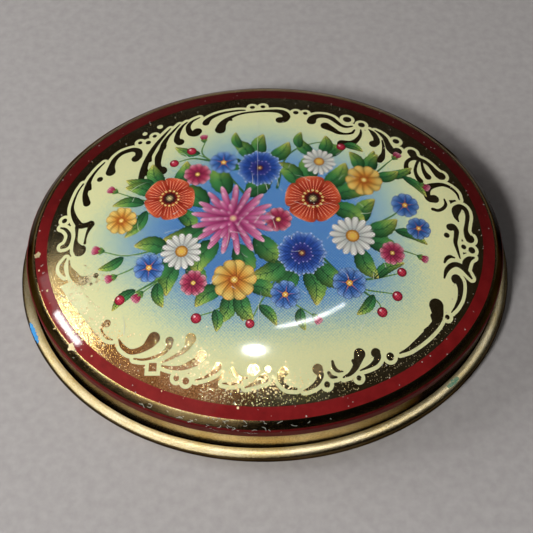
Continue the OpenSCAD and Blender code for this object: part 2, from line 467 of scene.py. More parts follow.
def grid_faces(rows, columns, start=0, wraps=False):
    """Faces of a grid of points, rows by columns, that may close on itself along its columns."""
    faces = []
    for i in range(rows - 1):
        for j in range(columns if wraps else columns - 1):
            k = (j + 1) % columns
            a, b = start + i * columns, start + (i + 1) * columns
            faces.append((a + j, b + j, b + k, a + k))
    return faces


def under_varnish(tree, shader):
    """Lays a clear varnish over a matt ink: a sharp gloss with the slight ripple of a rolled-on coat."""
    where = node(tree, "TexCoord").outputs["Object"]
    ripple = node(tree, "TexNoise", {"Vector": where, "Scale": 1 / (VARNISH_RIPPLE * MM), "Detail": 2.0})
    varnish = node(tree, "Bump", {"Height": ripple.outputs["Fac"], "Strength": 0.3, "Distance": 0.006 * MM})
    tree.links.new(varnish.outputs["Normal"], shader.inputs["Coat Normal"])
    for socket, value in (("Roughness", 0.5), ("Specular IOR Level", 0.1), ("Coat Weight", 1.0),
                          ("Coat Roughness", 0.065)):
        shader.inputs[socket].default_value = value


# Red litho ink under varnish: a deep, slightly mottled wine red with a sharp clear gloss over it. Towards
# the back it is darkened with painted shade.
red_ink, tree, shader = new_material("red_litho_ink_under_varnish")
where = node(tree, "TexCoord").outputs["Object"]
mottle = node(tree, "TexNoise", {"Vector": where, "Scale": 1 / (RED_MOTTLE * MM), "Detail": 6.0,
                                 "Roughness": 0.65})
red = node(tree, "ValToRGB", {"Fac": mottle.outputs["Fac"]},
           stops=[(0.3, "#690D0E"), (0.5, "#771213"), (0.7, "#821818")])
# Painted shade: the red is darkened towards the back by this share.
back_shade = node(tree, "Attribute", attribute_name="tint").outputs["Fac"]
shaded_red = node(tree, "VectorMath", {0: red.outputs["Color"], "Scale": back_shade}, operation="SCALE")
tree.links.new(shaded_red.outputs["Vector"], shader.inputs["Base Color"])
under_varnish(tree, shader)

points = []
for share in np.linspace(0, 1, RING_ROWS):
    long, short, shift = (1 - share) * np.array(RING_INNER) + share * np.array(RING_OUTER)
    points.append(printed(long * np.cos(turns), short * np.sin(turns) + shift, INK))
# Painted shade: less of the red towards the back of the ring.
ring_shade = 1 - RING_BACK_SHADE * near_turn(90, gain=1.1, cut=-0.5)
ink_piece("print_red_ring", np.concatenate(points), grid_faces(RING_ROWS, AROUND, wraps=True), red_ink,
          np.tile(ring_shade, RING_ROWS))

# Scuffed red litho ink: the ring's red, darkened with painted shade, where handling has dulled the varnish,
# so that it hardly shines.
shaded_stripe_ink, tree, shader = new_material("red_litho_ink_scuffed_shaded")
where = node(tree, "TexCoord").outputs["Object"]
mottle = node(tree, "TexNoise", {"Vector": where, "Scale": 1 / (SCUFFED_MOTTLE * MM), "Detail": 6.0,
                                 "Roughness": 0.65})
red = node(tree, "ValToRGB", {"Fac": mottle.outputs["Fac"]},
           stops=[(0.3, "#400809"), (0.5, "#520D0E"), (0.7, "#5E1313")])
tree.links.new(red.outputs["Color"], shader.inputs["Base Color"])
for socket, value in (("Roughness", 0.5), ("Specular IOR Level", 0.06)):
    shader.inputs[socket].default_value = value
skirt = np.array([v.co for v in lid_shell.data.vertices]) / MM
skirt = skirt[:len(lid_rings) * AROUND].reshape(-1, AROUND, 3)[SHOULDER_RING:CURL_RING][::-1]
points = np.zeros((STRIPE_ROWS, AROUND, 3))
points[:, :, 2] = np.linspace(STRIPE_HIGH, STRIPE_LOW, STRIPE_ROWS)[:, None]
for j in range(AROUND):
    for axis in (0, 1):
        on_skirt = np.interp(points[:, j, 2], skirt[:, j, 2], skirt[:, j, axis])
        points[:, j, axis] = on_skirt + INK * oval_out[j, axis]
stripe_faces = grid_faces(STRIPE_ROWS, AROUND, wraps=True)
ink_piece("print_red_stripe", points.reshape(-1, 3), stripe_faces, shaded_stripe_ink)

# Cream field and its border: opaque cream litho ink over the gold, shaded by airbrush and dot screen
# through pale green to blue. Rococo scrolls and beads are left bare in it, so that they show the gold
# lacquer, and the ink's outer edge follows them as a narrow line.
OUTLINE = 0.56
OUTLINE_RISE = 0.015
GOLD_RISE = 0.02
# Points across a strip of ink, along each part of a scroll, round its ends and along each part of a curve.
ACROSS = 5
SCROLL_STEPS = 12
END_STEPS = 8
FINE_STEPS = 24
# A strip of ink is never narrower than twice this, and a spot starts at this share of its size.
THINNEST = 0.004
SPOT_START = 0.02
# Each scroll is its points along the plan from tail to head, and its width there: x, y and width in mm.
SCROLLS = [
    ((-6.93, 19.0, 1.8), (-6.6, 20.3, 1.4), (-5.85, 21.4, 1.0), (-4.5, 22.4, 0.6), (-3.0, 22.95, 0.5),
     (-1.5, 23.2, 0.5), (0.0, 23.35, 0.6), (1.5, 23.4, 0.75), (2.8, 23.3, 1.0), (3.75, 22.8, 1.3),
     (4.2, 21.9, 1.3), (3.75, 21.1, 1.4), (3.05, 20.95, 1.5)),
    ((-5.6, 21.5, 0.8), (-5.1, 21.3, 0.5)),
    ((-2.8, 23.75, 0.35), (-4.0, 23.75, 0.5), (-6.0, 23.4, 0.6), (-7.5, 22.85, 0.75), (-8.6, 22.1, 0.9),
     (-9.2, 21.3, 1.15), (-9.35, 20.85, 1.2)),
    ((-10.45, 22.45, 0.3), (-11.5, 21.75, 0.5), (-12.2, 20.7, 0.75), (-12.25, 19.6, 0.95),
     (-11.8, 18.6, 1.2), (-11.1, 18.5, 1.5), (-10.75, 18.95, 1.6)),
    ((-12.55, 21.5, 0.3), (-13.25, 20.6, 0.5), (-13.8, 19.4, 0.75), (-14.1, 18.1, 0.9), (-14.05, 17.2, 1.2),
     (-13.6, 16.75, 1.5)),
    ((-13.75, 21.1, 0.25), (-14.75, 19.6, 0.45), (-15.6, 18.25, 0.6), (-16.25, 16.75, 0.9),
     (-16.65, 15.2, 0.9), (-17.05, 13.7, 1.2), (-17.1, 12.2, 1.05), (-16.9, 11.25, 1.4),
     (-16.35, 10.75, 1.7)),
    ((-16.2, 16.2, 0.9), (-16.2, 15.6, 0.6)),
    ((-15.3, 20.25, 0.25), (-16.5, 18.4, 0.55), (-17.6, 16.5, 0.8), (-18.5, 14.5, 0.95),
     (-19.1, 12.7, 1.05), (-19.45, 11.0, 1.2), (-19.75, 9.3, 1.0), (-19.65, 7.6, 1.25)),
    ((-19.2, 11.6, 0.8), (-19.0, 10.5, 1.1)),
    ((-18.5, 14.0, 0.7), (-18.4, 13.1, 0.6)),
    ((-24.9, 11.75, 1.7), (-24.8, 13.0, 1.15), (-24.4, 14.4, 0.95), (-23.5, 15.5, 0.9), (-22.4, 16.0, 0.9),
     (-21.25, 16.1, 1.0), (-20.45, 15.5, 1.2), (-20.4, 14.5, 1.3), (-20.85, 13.95, 1.4)),
    ((-26.1, 14.1, 0.3), (-27.1, 12.9, 0.45), (-27.9, 11.6, 0.55), (-28.4, 10.4, 0.8), (-28.65, 9.2, 1.0),
     (-28.9, 7.9, 0.9), (-28.7, 6.8, 1.15), (-28.45, 5.9, 1.25)),
    ((-28.4, 9.7, 0.9), (-28.2, 8.8, 0.7)),
    ((-29.4, 10.1, 0.35), (-30.1, 8.8, 0.35), (-30.6, 7.2, 0.4), (-30.85, 5.6, 0.55), (-30.6, 4.2, 0.8),
     (-30.0, 2.8, 1.0), (-29.2, 1.75, 1.1), (-28.3, 1.7, 1.0), (-27.6, 1.7, 1.4)),
    ((-29.8, 1.6, 0.7), (-29.75, 0.0, 0.45), (-29.8, -1.2, 0.7), (-29.45, -2.3, 1.6), (-29.1, -2.75, 2.1)),
    ((-27.6, 1.2, 0.8), (-28.0, 0.3, 0.5), (-28.25, -0.8, 0.35), (-28.3, -1.6, 0.5)),
    ((-32.5, 2.0, 0.3), (-31.75, 1.6, 0.5), (-31.05, 0.6, 0.6), (-31.0, -0.4, 0.75), (-31.4, -1.4, 0.9),
     (-32.05, -1.6, 0.7)),
    ((-31.25, -3.8, 0.25), (-31.85, -4.9, 0.75), (-31.8, -5.8, 0.75), (-31.25, -6.8, 0.25)),
    ((-30.7, -4.25, 0.25), (-30.55, -5.4, 0.5), (-30.0, -6.6, 1.2), (-29.1, -7.75, 1.4), (-28.3, -8.1, 1.5),
     (-27.95, -8.0, 1.3)),
    ((-23.4, -17.9, 0.2), (-24.1, -17.6, 0.4), (-24.75, -17.0, 0.4), (-25.1, -16.2, 0.4),
     (-24.9, -15.6, 0.7), (-24.3, -15.35, 1.2)),
    ((-22.4, -18.0, 0.3), (-21.9, -19.0, 0.7), (-20.75, -19.9, 0.8), (-19.5, -19.9, 0.9),
     (-18.5, -19.55, 1.1), (-17.75, -19.0, 1.6), (-17.1, -18.3, 1.9)),
    ((-20.1, -21.0, 0.25), (-18.75, -21.25, 0.35), (-17.25, -21.1, 0.45), (-15.75, -20.6, 0.6),
     (-14.9, -19.75, 0.9), (-14.75, -18.9, 1.3)),
    ((-16.0, -21.9, 0.25), (-14.75, -21.5, 0.4), (-13.4, -20.9, 0.6), (-12.25, -20.1, 0.9),
     (-11.6, -18.8, 1.7)),
    ((-15.9, -22.4, 0.3), (-14.75, -22.75, 0.5), (-13.25, -22.9, 0.7), (-12.0, -22.6, 1.0),
     (-10.75, -22.1, 1.3), (-10.0, -21.3, 1.6)),
    ((-11.0, -24.75, 0.2), (-9.5, -24.4, 0.4), (-8.2, -23.7, 0.8), (-7.6, -23.0, 1.1)),
    ((-5.5, -23.4, 0.5), (-5.1, -24.2, 0.6), (-4.3, -24.7, 0.5), (-3.4, -24.8, 0.3)),
    ((-7.0, -25.4, 0.2), (-5.5, -25.5, 0.5), (-4.4, -25.2, 0.7)),
    ((-3.7, -26.1, 0.25), (-2.3, -25.6, 0.7), (-1.4, -25.1, 1.2), (-0.9, -24.9, 1.4)),
    ((3.8, -26.5, 0.3), (2.4, -26.2, 0.6), (1.6, -25.3, 0.9), (1.6, -24.6, 1.2), (2.0, -24.1, 1.4)),
    ((4.9, -26.7, 0.25), (5.75, -26.4, 0.5), (6.75, -25.75, 0.8), (7.35, -24.7, 1.0), (7.0, -23.8, 1.6)),
    ((8.6, -24.3, 0.5), (9.0, -24.8, 0.6), (9.75, -24.9, 0.3)),
    ((9.2, -22.7, 0.4), (9.4, -23.5, 0.6), (9.9, -24.0, 0.5), (10.7, -24.1, 0.2)),
    ((10.75, -24.9, 0.25), (11.75, -24.4, 0.6), (12.5, -23.6, 0.9), (12.9, -22.75, 1.2),
     (13.3, -21.6, 1.75)),
    ((12.6, -22.9, 0.9), (12.3, -22.6, 0.6)),
    ((13.3, -23.9, 0.2), (14.5, -23.4, 0.45), (15.5, -22.75, 0.8), (15.95, -22.0, 1.1),
     (15.75, -21.4, 1.5)),
    ((19.4, -21.25, 0.25), (20.75, -20.6, 0.6), (22.1, -19.6, 0.9), (23.4, -18.5, 1.1), (24.5, -17.4, 1.2),
     (25.4, -16.3, 1.3), (25.7, -15.2, 1.8), (25.6, -13.8, 2.3)),
    ((25.2, -15.9, 1.2), (24.9, -15.4, 0.8)),
    ((24.0, -17.6, 1.0), (23.6, -17.7, 0.6)),
    ((27.95, -14.6, 0.2), (28.75, -13.6, 0.45), (29.45, -12.25, 0.7), (29.75, -10.75, 0.95),
     (29.65, -9.7, 1.3), (29.25, -9.25, 1.7)),
    ((27.3, -9.2, 0.3), (27.75, -8.0, 0.7), (28.55, -7.1, 0.85), (29.5, -6.75, 0.85), (30.5, -7.1, 0.9),
     (31.25, -8.0, 0.7), (31.8, -8.75, 0.35)),
    ((30.9, -7.2, 1.1), (31.2, -6.2, 1.2), (31.8, -5.5, 0.9), (32.6, -5.15, 0.35)),
    ((27.6, -6.6, 0.35), (28.0, -5.9, 0.6), (28.6, -5.5, 0.6), (29.3, -5.6, 0.3)),
    ((30.25, -5.6, 0.25), (30.0, -4.25, 0.5), (29.8, -2.9, 0.7), (30.05, -1.75, 0.8), (30.2, -0.75, 0.9),
     (29.75, -0.1, 1.2), (29.25, -0.2, 1.3)),
    ((30.8, 1.1, 0.3), (30.5, 2.0, 0.9), (30.7, 3.2, 1.5), (31.5, 4.0, 1.1), (32.3, 3.6, 0.9),
     (32.5, 2.4, 0.8), (32.2, 1.0, 0.7), (31.85, -0.4, 0.8), (32.0, -1.4, 1.2), (32.3, -1.85, 1.6)),
    ((31.55, 5.5, 0.3), (31.25, 6.75, 0.5), (30.25, 7.75, 0.6), (29.0, 8.1, 0.75), (27.6, 7.75, 1.0),
     (26.5, 7.1, 1.3), (26.1, 6.0, 1.2), (26.4, 4.95, 1.3), (27.25, 4.95, 1.6)),
    ((28.95, 5.1, 0.3), (29.05, 4.1, 0.55), (28.5, 3.25, 0.6), (27.6, 2.75, 0.6), (26.75, 2.9, 0.6)),
    ((24.65, 14.5, 1.55), (25.0, 13.6, 1.3), (25.7, 13.1, 1.0), (26.6, 12.75, 0.85), (27.4, 12.0, 0.85),
     (28.0, 11.0, 1.1), (28.6, 10.2, 1.5), (29.0, 9.95, 1.7)),
    ((25.0, 13.3, 0.9), (24.2, 12.9, 0.7), (23.5, 12.1, 0.7), (23.3, 11.0, 0.85), (23.45, 10.0, 1.05)),
    ((25.6, 12.9, 0.5), (25.1, 11.8, 0.5), (24.75, 10.5, 0.6), (24.9, 9.3, 0.75), (25.35, 8.35, 1.0)),
    ((26.1, 12.6, 0.45), (26.1, 11.5, 0.55), (26.3, 10.3, 0.8), (26.75, 9.4, 1.2)),
    ((18.95, 19.1, 0.25), (19.75, 18.4, 0.6), (20.4, 17.4, 0.85), (20.7, 16.2, 1.0), (21.0, 15.0, 1.3),
     (21.6, 14.2, 1.4), (22.2, 14.5, 1.6)),
    ((19.9, 16.75, 0.3), (19.95, 15.25, 0.5), (19.75, 13.75, 0.7), (19.4, 12.8, 1.1), (18.95, 12.1, 1.1)),
    ((17.9, 19.25, 0.25), (18.5, 18.4, 0.9), (18.9, 17.25, 1.0), (18.85, 16.25, 1.25), (18.3, 15.75, 1.5)),
    ((16.5, 19.0, 0.25), (16.4, 18.1, 0.5), (16.0, 17.1, 0.7), (15.25, 16.1, 1.0), (14.4, 15.55, 1.35),
     (13.1, 15.4, 1.8)),
    ((15.45, 18.9, 0.3), (14.9, 18.1, 0.5), (13.75, 17.8, 0.5), (12.6, 18.05, 0.85), (11.75, 18.75, 1.2),
     (10.6, 19.6, 1.7)),
    ((15.1, 19.8, 0.35), (14.1, 19.55, 0.6), (13.25, 19.9, 0.7), (12.5, 20.75, 0.85), (11.75, 21.6, 1.0),
     (10.75, 22.1, 1.0), (9.5, 22.1, 1.1), (8.6, 21.5, 1.4), (8.3, 20.7, 1.6)),
]
# Each bead and dot is its width and its middle on the plan. The lozenge has its half width instead.
BEADS = [
    (0.88, (-1.5, 24.5)), (0.85, (0.3, 24.6)), (0.95, (5.8, 22.9)), (0.8, (7.4, 22.75)),
    (1.45, (14.4, 21.5)), (1.2, (16.75, 20.3)), (1.15, (22.25, 16.85)), (0.95, (28.5, -1.75)),
    (0.85, (31.1, -3.5)), (1.15, (32.4, -3.9)), (0.75, (27.2, -15.4)), (1.2, (17.9, -21.8)),
    (0.75, (13.05, -24.95)), (0.9, (8.3, -25.9)), (1.0, (-0.3, -23.7)), (1.7, (-2.45, -23.7)),
    (1.0, (-12.4, -24.75)), (0.85, (-13.8, -24.25)), (0.85, (-26.25, -7.5)), (0.5, (-27.0, -8.8)),
    (0.9, (-32.0, 3.25)), (1.05, (-26.6, 10.5)), (0.75, (-20.3, 17.6)), (0.9, (-18.9, 17.4)),
    (0.75, (-17.9, 18.8)),
]
CREAM_DOTS = [(0.85, (-19.6, 19.7)), (1.0, (-17.1, 21.05))]
LOZENGE = (0.85, (-17.3, -22.45))
LOZENGE_TURN = 0.7
LOZENGE_OUTLINE = 0.8
BEAD_CORNERS = 24
BEAD_OUTLINE_CORNERS = 28
DOT_CORNERS = 20
# Where no scroll marks it, the edge is rubbed away along these points.
FADED_EDGE = ((-32.0, -8.3), (-31.1, -9.7), (-30.3, -11.1), (-29.2, -12.4), (-28.2, -13.8), (-26.9, -15.5),
              (-25.7, -17.0))
FADED_STEPS = 40
EDGE_STEPS = 60
FIELD_LONG = 31.6
FIELD_SHORT = 24.4
FIELD_SHIFT = -0.8
# The blue is densest within its oval, and thins out from FADE_FROM times the oval inward over FADE_OVER.
BLUE_LONG = 24.6
BLUE_SHORT = 19.1
BLUE_SHIFT = -1.1
BLUE_MOST = 0.77
FADE_FROM = 1.18
FADE_OVER = 0.65
# Waves in the blue's edge: how many round it, how deep and where they start.
BLUE_WAVES = ((3, 0.05, 0.6), (5, 0.04, 2.0))
# The airbrush's spray, and the screen of dots. The real screen has about 0.19 mm between dots, and is drawn
# at 0.34 mm so that it shows.
SPRAY = 0.28
SCREEN = 0.34

# Cream and blue litho ink under varnish: opaque and matt in itself, grainy where the blue is sprayed thin and
# dotted where it is dense, with the varnish's sharp gloss over all of it.
field_ink, tree, shader = new_material("cream_and_blue_litho_ink_under_varnish")
where = node(tree, "TexCoord").outputs["Object"]
tint = node(tree, "Attribute", attribute_name="tint").outputs["Fac"]
grain = node(tree, "TexNoise", {"Vector": where, "Scale": 1 / (SPRAY * MM), "Detail": 2.0})
spray = node(tree, "MapRange", {"Value": grain.outputs["Fac"], "From Min": 0.3, "From Max": 0.7,
                                "To Min": -0.085, "To Max": 0.085})
slant = node(tree, "Mapping", {"Vector": where, "Rotation": (0, 0, math.radians(45))})
dots = node(tree, "TexVoronoi", {"Vector": slant.outputs["Vector"], "Scale": 1 / (SCREEN * MM),
                                 "Randomness": 0.0}, voronoi_dimensions="2D")
dotted = node(tree, "MapRange", {"Value": dots.outputs["Distance"], "From Min": 0.15, "From Max": 0.6,
                                 "To Min": -0.38, "To Max": 0.3})
screen = node(tree, "Math", {0: dotted.outputs["Result"], 1: tint}, operation="MULTIPLY")
sprayed = node(tree, "Math", {0: tint, 1: spray.outputs["Result"]}, operation="ADD")
shaded = node(tree, "Math", {0: sprayed.outputs["Value"], 1: screen.outputs["Value"]}, operation="ADD")
field_colour = node(tree, "ValToRGB", {"Fac": shaded.outputs["Value"]}, stops=[
    (0.0, "#D3D39E"), (0.15, "#C6CD9F"), (0.31, "#A3BBA6"), (0.46, "#7FA2AE"), (0.62, "#5787B6"),
    (0.77, "#3F78BC"), (1.0, "#24559F")])
# Painted light: the ink is made lighter towards the back right.
LIT_WAY = (0.75 / (FIELD_LONG * MM), 0.45 / (FIELD_SHORT * MM), 0)
towards_lit = node(tree, "VectorMath", {0: where, 1: LIT_WAY}, operation="DOT_PRODUCT")
painted_light = node(tree, "MapRange", {"Value": towards_lit.outputs["Value"], "From Min": -0.2, "From Max": 0.8,
                                "To Min": 1.0, "To Max": 1.42})
lit_field_colour = node(tree, "VectorMath", {0: field_colour.outputs["Color"], "Scale": painted_light.outputs["Result"]},
                   operation="SCALE")
tree.links.new(lit_field_colour.outputs["Vector"], shader.inputs["Base Color"])
under_varnish(tree, shader)


def field_tint(x, y):
    """How blue the field is at a point of the plan, from 0 for cream to 1."""
    across, up = x / BLUE_LONG, (y - BLUE_SHIFT) / BLUE_SHORT
    angle = np.arctan2(up, across)
    wave = 1 + sum(depth * np.sin(count * angle + start) for count, depth, start in BLUE_WAVES)
    return BLUE_MOST * np.clip((FADE_FROM - wave * np.hypot(across, up)) / FADE_OVER, 0, 1)


def smooth_line(knots, shares):
    """Points at shares of the way along a smooth curve through a few points of the plan, with what
    they carry."""
    knots = np.array(knots, dtype=float)
    ends = np.concatenate([[2 * knots[0] - knots[1]], knots, [2 * knots[-1] - knots[-2]]])
    fine = []
    for a, b, c, d in zip(ends, ends[1:], ends[2:], ends[3:]):
        for t in np.arange(0, 1, 1 / FINE_STEPS):
            fine.append(0.5 * (2 * b + (c - a) * t + (2 * a - 5 * b + 4 * c - d) * t ** 2
                               + (3 * b - a - 3 * c + d) * t ** 3))
    fine = np.array(fine + [knots[-1]])
    walked = np.concatenate([[0], np.cumsum(np.linalg.norm(np.diff(fine[:, :2], axis=0), axis=1))])
    places = np.asarray(shares) * walked[-1]
    return np.column_stack([np.interp(places, walked, column) for column in fine.T])


def ribbon(layer, line, half, rise):
    """Adds a strip of ink along a line of the plan, with its own half width at each point.
    Returns each point's share along the strip and across it, and its place, for colouring."""
    ahead = np.gradient(line, axis=0)
    ahead /= np.linalg.norm(ahead, axis=1)[:, None]
    side = np.column_stack([-ahead[:, 1], ahead[:, 0]])
    across = np.linspace(-1, 1, ACROSS)
    places = line[:, None, :] + (half[:, None] * across)[:, :, None] * side[:, None, :]
    start = sum(len(p) for p in layer["points"])
    layer["points"].append(printed(places[..., 0], places[..., 1], rise).reshape(-1, 3))
    layer["faces"] += grid_faces(len(line), ACROSS, start)
    along = np.linspace(0, 1, len(line))[:, None] * np.ones(ACROSS)
    return along.ravel(), np.tile(across, len(line)), places.reshape(-1, 2)


def spot(layer, centre, radii, rise, rings=4, turn=0.0):
    """Adds a filled patch of ink round a centre, with its radius at even angles round it.
    Returns each point's share of the way out, for colouring, and its place on the plan."""
    radii = np.asarray(radii, dtype=float)
    angles = turn + np.arange(len(radii)) * 2 * np.pi / len(radii)
    shares = np.linspace(SPOT_START, 1, rings)[:, None]
    x = centre[0] + shares * radii * np.cos(angles)
    y = centre[1] + shares * radii * np.sin(angles)
    start = sum(len(p) for p in layer["points"])
    layer["points"].append(printed(x, y, rise).reshape(-1, 3))
    layer["faces"] += grid_faces(rings, len(radii), start, wraps=True)
    layer["faces"].append(tuple(range(start, start + len(radii))))
    return (shares * np.ones(len(radii))).ravel(), np.column_stack([x.ravel(), y.ravel()])


def scroll(layer, knots, grow, rise):
    """Adds one scroll with round ends, made wider by grow on every side. Returns its points' places."""
    line = smooth_line(knots, np.linspace(0, 1, SCROLL_STEPS * len(knots)))
    half = line[:, 2] / 2 + grow
    line = line[:, :2]
    bow = np.linspace(0, np.pi / 2, END_STEPS)
    tail, head = line[0] - line[1], line[-1] - line[-2]
    tail_cap = line[0] + np.outer(half[0] * np.sin(bow), tail / np.linalg.norm(tail))
    head_cap = line[-1] + np.outer(half[-1] * np.sin(bow), head / np.linalg.norm(head))
    half = np.concatenate([half[0] * np.cos(bow[:0:-1]), half, half[-1] * np.cos(bow[1:])])
    line = np.concatenate([tail_cap[:0:-1], line, head_cap[1:]])
    return ribbon(layer, line, np.maximum(half, THINNEST), rise)[2]


def new_layer():
    """An empty layer of ink, to which strips and spots are added."""
    return {"points": [], "faces": [], "inks": []}


bare_gold = new_layer()
outline = new_layer()
edge = []
outline_places = []
for knots in SCROLLS:
    scroll(bare_gold, knots, 0, GOLD_RISE)
    outline_places.append(scroll(outline, knots, OUTLINE, OUTLINE_RISE))
    edge.append(smooth_line(knots, np.linspace(0, 1, EDGE_STEPS))[:, :2])
for size, centre in BEADS:
    spot(bare_gold, centre, [size / 2] * BEAD_CORNERS, GOLD_RISE, rings=3)
    wide = [size / 2 + OUTLINE] * BEAD_OUTLINE_CORNERS
    outline_places.append(spot(outline, centre, wide, OUTLINE_RISE, rings=3)[1])
    edge.append([centre])
for size, centre in CREAM_DOTS:
    outline_places.append(spot(outline, centre, [size / 2] * DOT_CORNERS, OUTLINE_RISE, rings=3)[1])
size, centre = LOZENGE
spot(bare_gold, centre, [size] * 4, GOLD_RISE, rings=3, turn=LOZENGE_TURN)
wide = [size + LOZENGE_OUTLINE] * 4
outline_places.append(spot(outline, centre, wide, OUTLINE_RISE, rings=4, turn=LOZENGE_TURN)[1])
edge.append([centre])
edge.append(smooth_line(FADED_EDGE, np.linspace(0, 1, FADED_STEPS)))
places = np.concatenate(outline_places)
ink_piece("print_cream_outlines", np.concatenate(outline["points"]), outline["faces"], field_ink,
          field_tint(places[:, 0], places[:, 1]))
lies_on_dome(ink_piece("print_bare_gold_scrolls", np.concatenate(bare_gold["points"]), bare_gold["faces"],
                       gold_lacquer))

# The field itself runs out to the middle of the outermost scroll or bead in each direction.
EDGE_WINDOW = math.radians(1.2)
EDGE_LEAST = 0.9
EDGE_BLUR = 2
FIELD_START = 0.004
FIELD_ROWS = 60
FIELD_COLUMNS = 720
field_turns = np.arange(FIELD_COLUMNS) * 2 * np.pi / FIELD_COLUMNS
edge = np.concatenate(edge)
edge_turn = np.arctan2((edge[:, 1] - FIELD_SHIFT) / FIELD_SHORT, edge[:, 0] / FIELD_LONG)
edge_reach = np.hypot((edge[:, 1] - FIELD_SHIFT) / FIELD_SHORT, edge[:, 0] / FIELD_LONG)
reach = np.zeros(FIELD_COLUMNS)
for j, turn in enumerate(field_turns):
    near = np.abs((edge_turn - turn + np.pi) % (2 * np.pi) - np.pi) < EDGE_WINDOW
    reach[j] = edge_reach[near].max() if near.any() else 0
known = reach > EDGE_LEAST
reach = np.interp(field_turns, field_turns[known], reach[known], period=2 * np.pi)
reach = np.minimum.reduce([np.roll(reach, k) for k in range(-EDGE_BLUR, EDGE_BLUR + 1)])
points = []
tints = []
for share in np.linspace(FIELD_START, 1, FIELD_ROWS):
    x = share * reach * FIELD_LONG * np.cos(field_turns)
    y = share * reach * FIELD_SHORT * np.sin(field_turns) + FIELD_SHIFT
    points.append(printed(x, y, INK))
    tints.append(field_tint(x, y))
field_faces = grid_faces(FIELD_ROWS, FIELD_COLUMNS, wraps=True) + [tuple(range(FIELD_COLUMNS))]
ink_piece("print_cream_field", np.concatenate(points), field_faces, field_ink, np.concatenate(tints))

# Bouquet: a spray of garden flowers printed in the middle of the field in screened process inks.
# Stems and leaves lie lowest, then the small flowers, then the large ones. A stroke that overlaps another
# lies one step higher.
STEM_RISE = 0.018
LEAF_RISE = 0.022
SMALL_RISE = 0.05
LARGE_RISE = 0.06
NEXT_INK = 0.0007
# Widths of the thin lines, and the points along each kind of stroke.
STEM = 0.45
MIDRIB = 0.22
VEIN = 0.12
FOLD = 0.15
THREAD_TAPER = 0.6
THREAD_STEPS = 18
LEAF_STEPS = 34
LEAF_TEETH = 8
TOOTH_DEPTH = 0.16
PETAL_STEPS = 15

# Screened process inks under varnish: bright flower colours, broken up by the same dots as the blue, with the
# varnish's sharp gloss over them.
process_inks, tree, shader = new_material("screened_process_inks_under_varnish")
where = node(tree, "TexCoord").outputs["Object"]
slant = node(tree, "Mapping", {"Vector": where, "Rotation": (0, 0, math.radians(45))})
dots = node(tree, "TexVoronoi", {"Vector": slant.outputs["Vector"], "Scale": 1 / (SCREEN * MM),
                                 "Randomness": 0.0}, voronoi_dimensions="2D")
screen = node(tree, "MapRange", {"Value": dots.outputs["Distance"], "From Min": 0.2, "From Max": 0.6,
                                 "To Min": 0.5, "To Max": 1.24})
painted = node(tree, "Attribute", attribute_name="ink").outputs["Color"]
screened = node(tree, "VectorMath", {0: painted, "Scale": screen.outputs["Result"]}, operation="SCALE")
tree.links.new(screened.outputs["Vector"], shader.inputs["Base Color"])
under_varnish(tree, shader)


def inks(stops, share):
    """Linear colours between hex colours at the given places, for an array of shares."""
    places = [place for place, colour in stops]
    values = np.array([linear(colour) for place, colour in stops])
    return np.column_stack([np.interp(share, places, values[:, i]) for i in range(4)])


def toned(colours, tone):
    """Colours made lighter or darker, with alpha left whole."""
    return np.column_stack([colours[:, :3] * np.asarray(tone).reshape(-1, 1), colours[:, 3]])


def heading(angle):
    """Unit step on the plan at an angle in radians."""
    return np.array([math.cos(angle), math.sin(angle)])


GREEN = [(0.0, "#1F5233"), (0.35, "#3E7F43"), (0.7, "#86A94C"), (1.0, "#CFC163")]
DARK_GREEN = [(0.0, "#173F2B"), (1.0, "#3C6A3A")]
greenery = new_layer()


def thread(layer, knots, width, rise, stops):
    """Adds a thin line of ink, such as a stem or a vein, that tapers to its end."""
    shares = np.linspace(0, 1, THREAD_STEPS)
    half = width / 2 * (1 - THREAD_TAPER * shares)
    along = ribbon(layer, smooth_line(knots, shares), half, rise)[0]
    layer["inks"].append(inks(stops, along))


def leaf(layer, base, tip, width, bow, rise):
    """Adds a toothed leaf from base to tip, half of it in shade, with a midrib and side veins."""
    base, tip = np.array(base, dtype=float), np.array(tip, dtype=float)
    run = tip - base
    side = np.array([-run[1], run[0]])
    middle = base + run / 2 + bow * side
    shares = np.linspace(0, 1, LEAF_STEPS)
    line = smooth_line([base, middle, tip], shares)
    half = width / 2 * np.sin(np.pi * shares ** 0.8) ** 0.75 + 0.02
    tooth = 1 + TOOTH_DEPTH * ((shares * LEAF_TEETH) % 1 - 0.5) * (shares > 0.15)
    along, across = ribbon(layer, line, half * tooth, rise)[:2]
    tone = 1.0 + 0.3 * np.sign(across) - 0.45 * np.abs(across) ** 4
    layer["inks"].append(toned(inks(GREEN, along ** 1.2), tone))
    thread(layer, [base, middle, base + 0.92 * run], MIDRIB, rise + NEXT_INK, DARK_GREEN)
    length = np.linalg.norm(run)
    for share in (0.25, 0.42, 0.58, 0.74):
        start = smooth_line([base, middle, tip], np.array([share]))[0]
        for way in (-1, 1):
            angle = math.atan2(run[1], run[0]) + way * 0.75
            end = start + heading(angle) * width * 0.42 * math.sin(math.pi * share ** 0.8)
            middle_of_vein = (start + end) / 2 + 0.03 * run / length
            thread(layer, [start, middle_of_vein, end], VEIN, rise + NEXT_INK, DARK_GREEN)


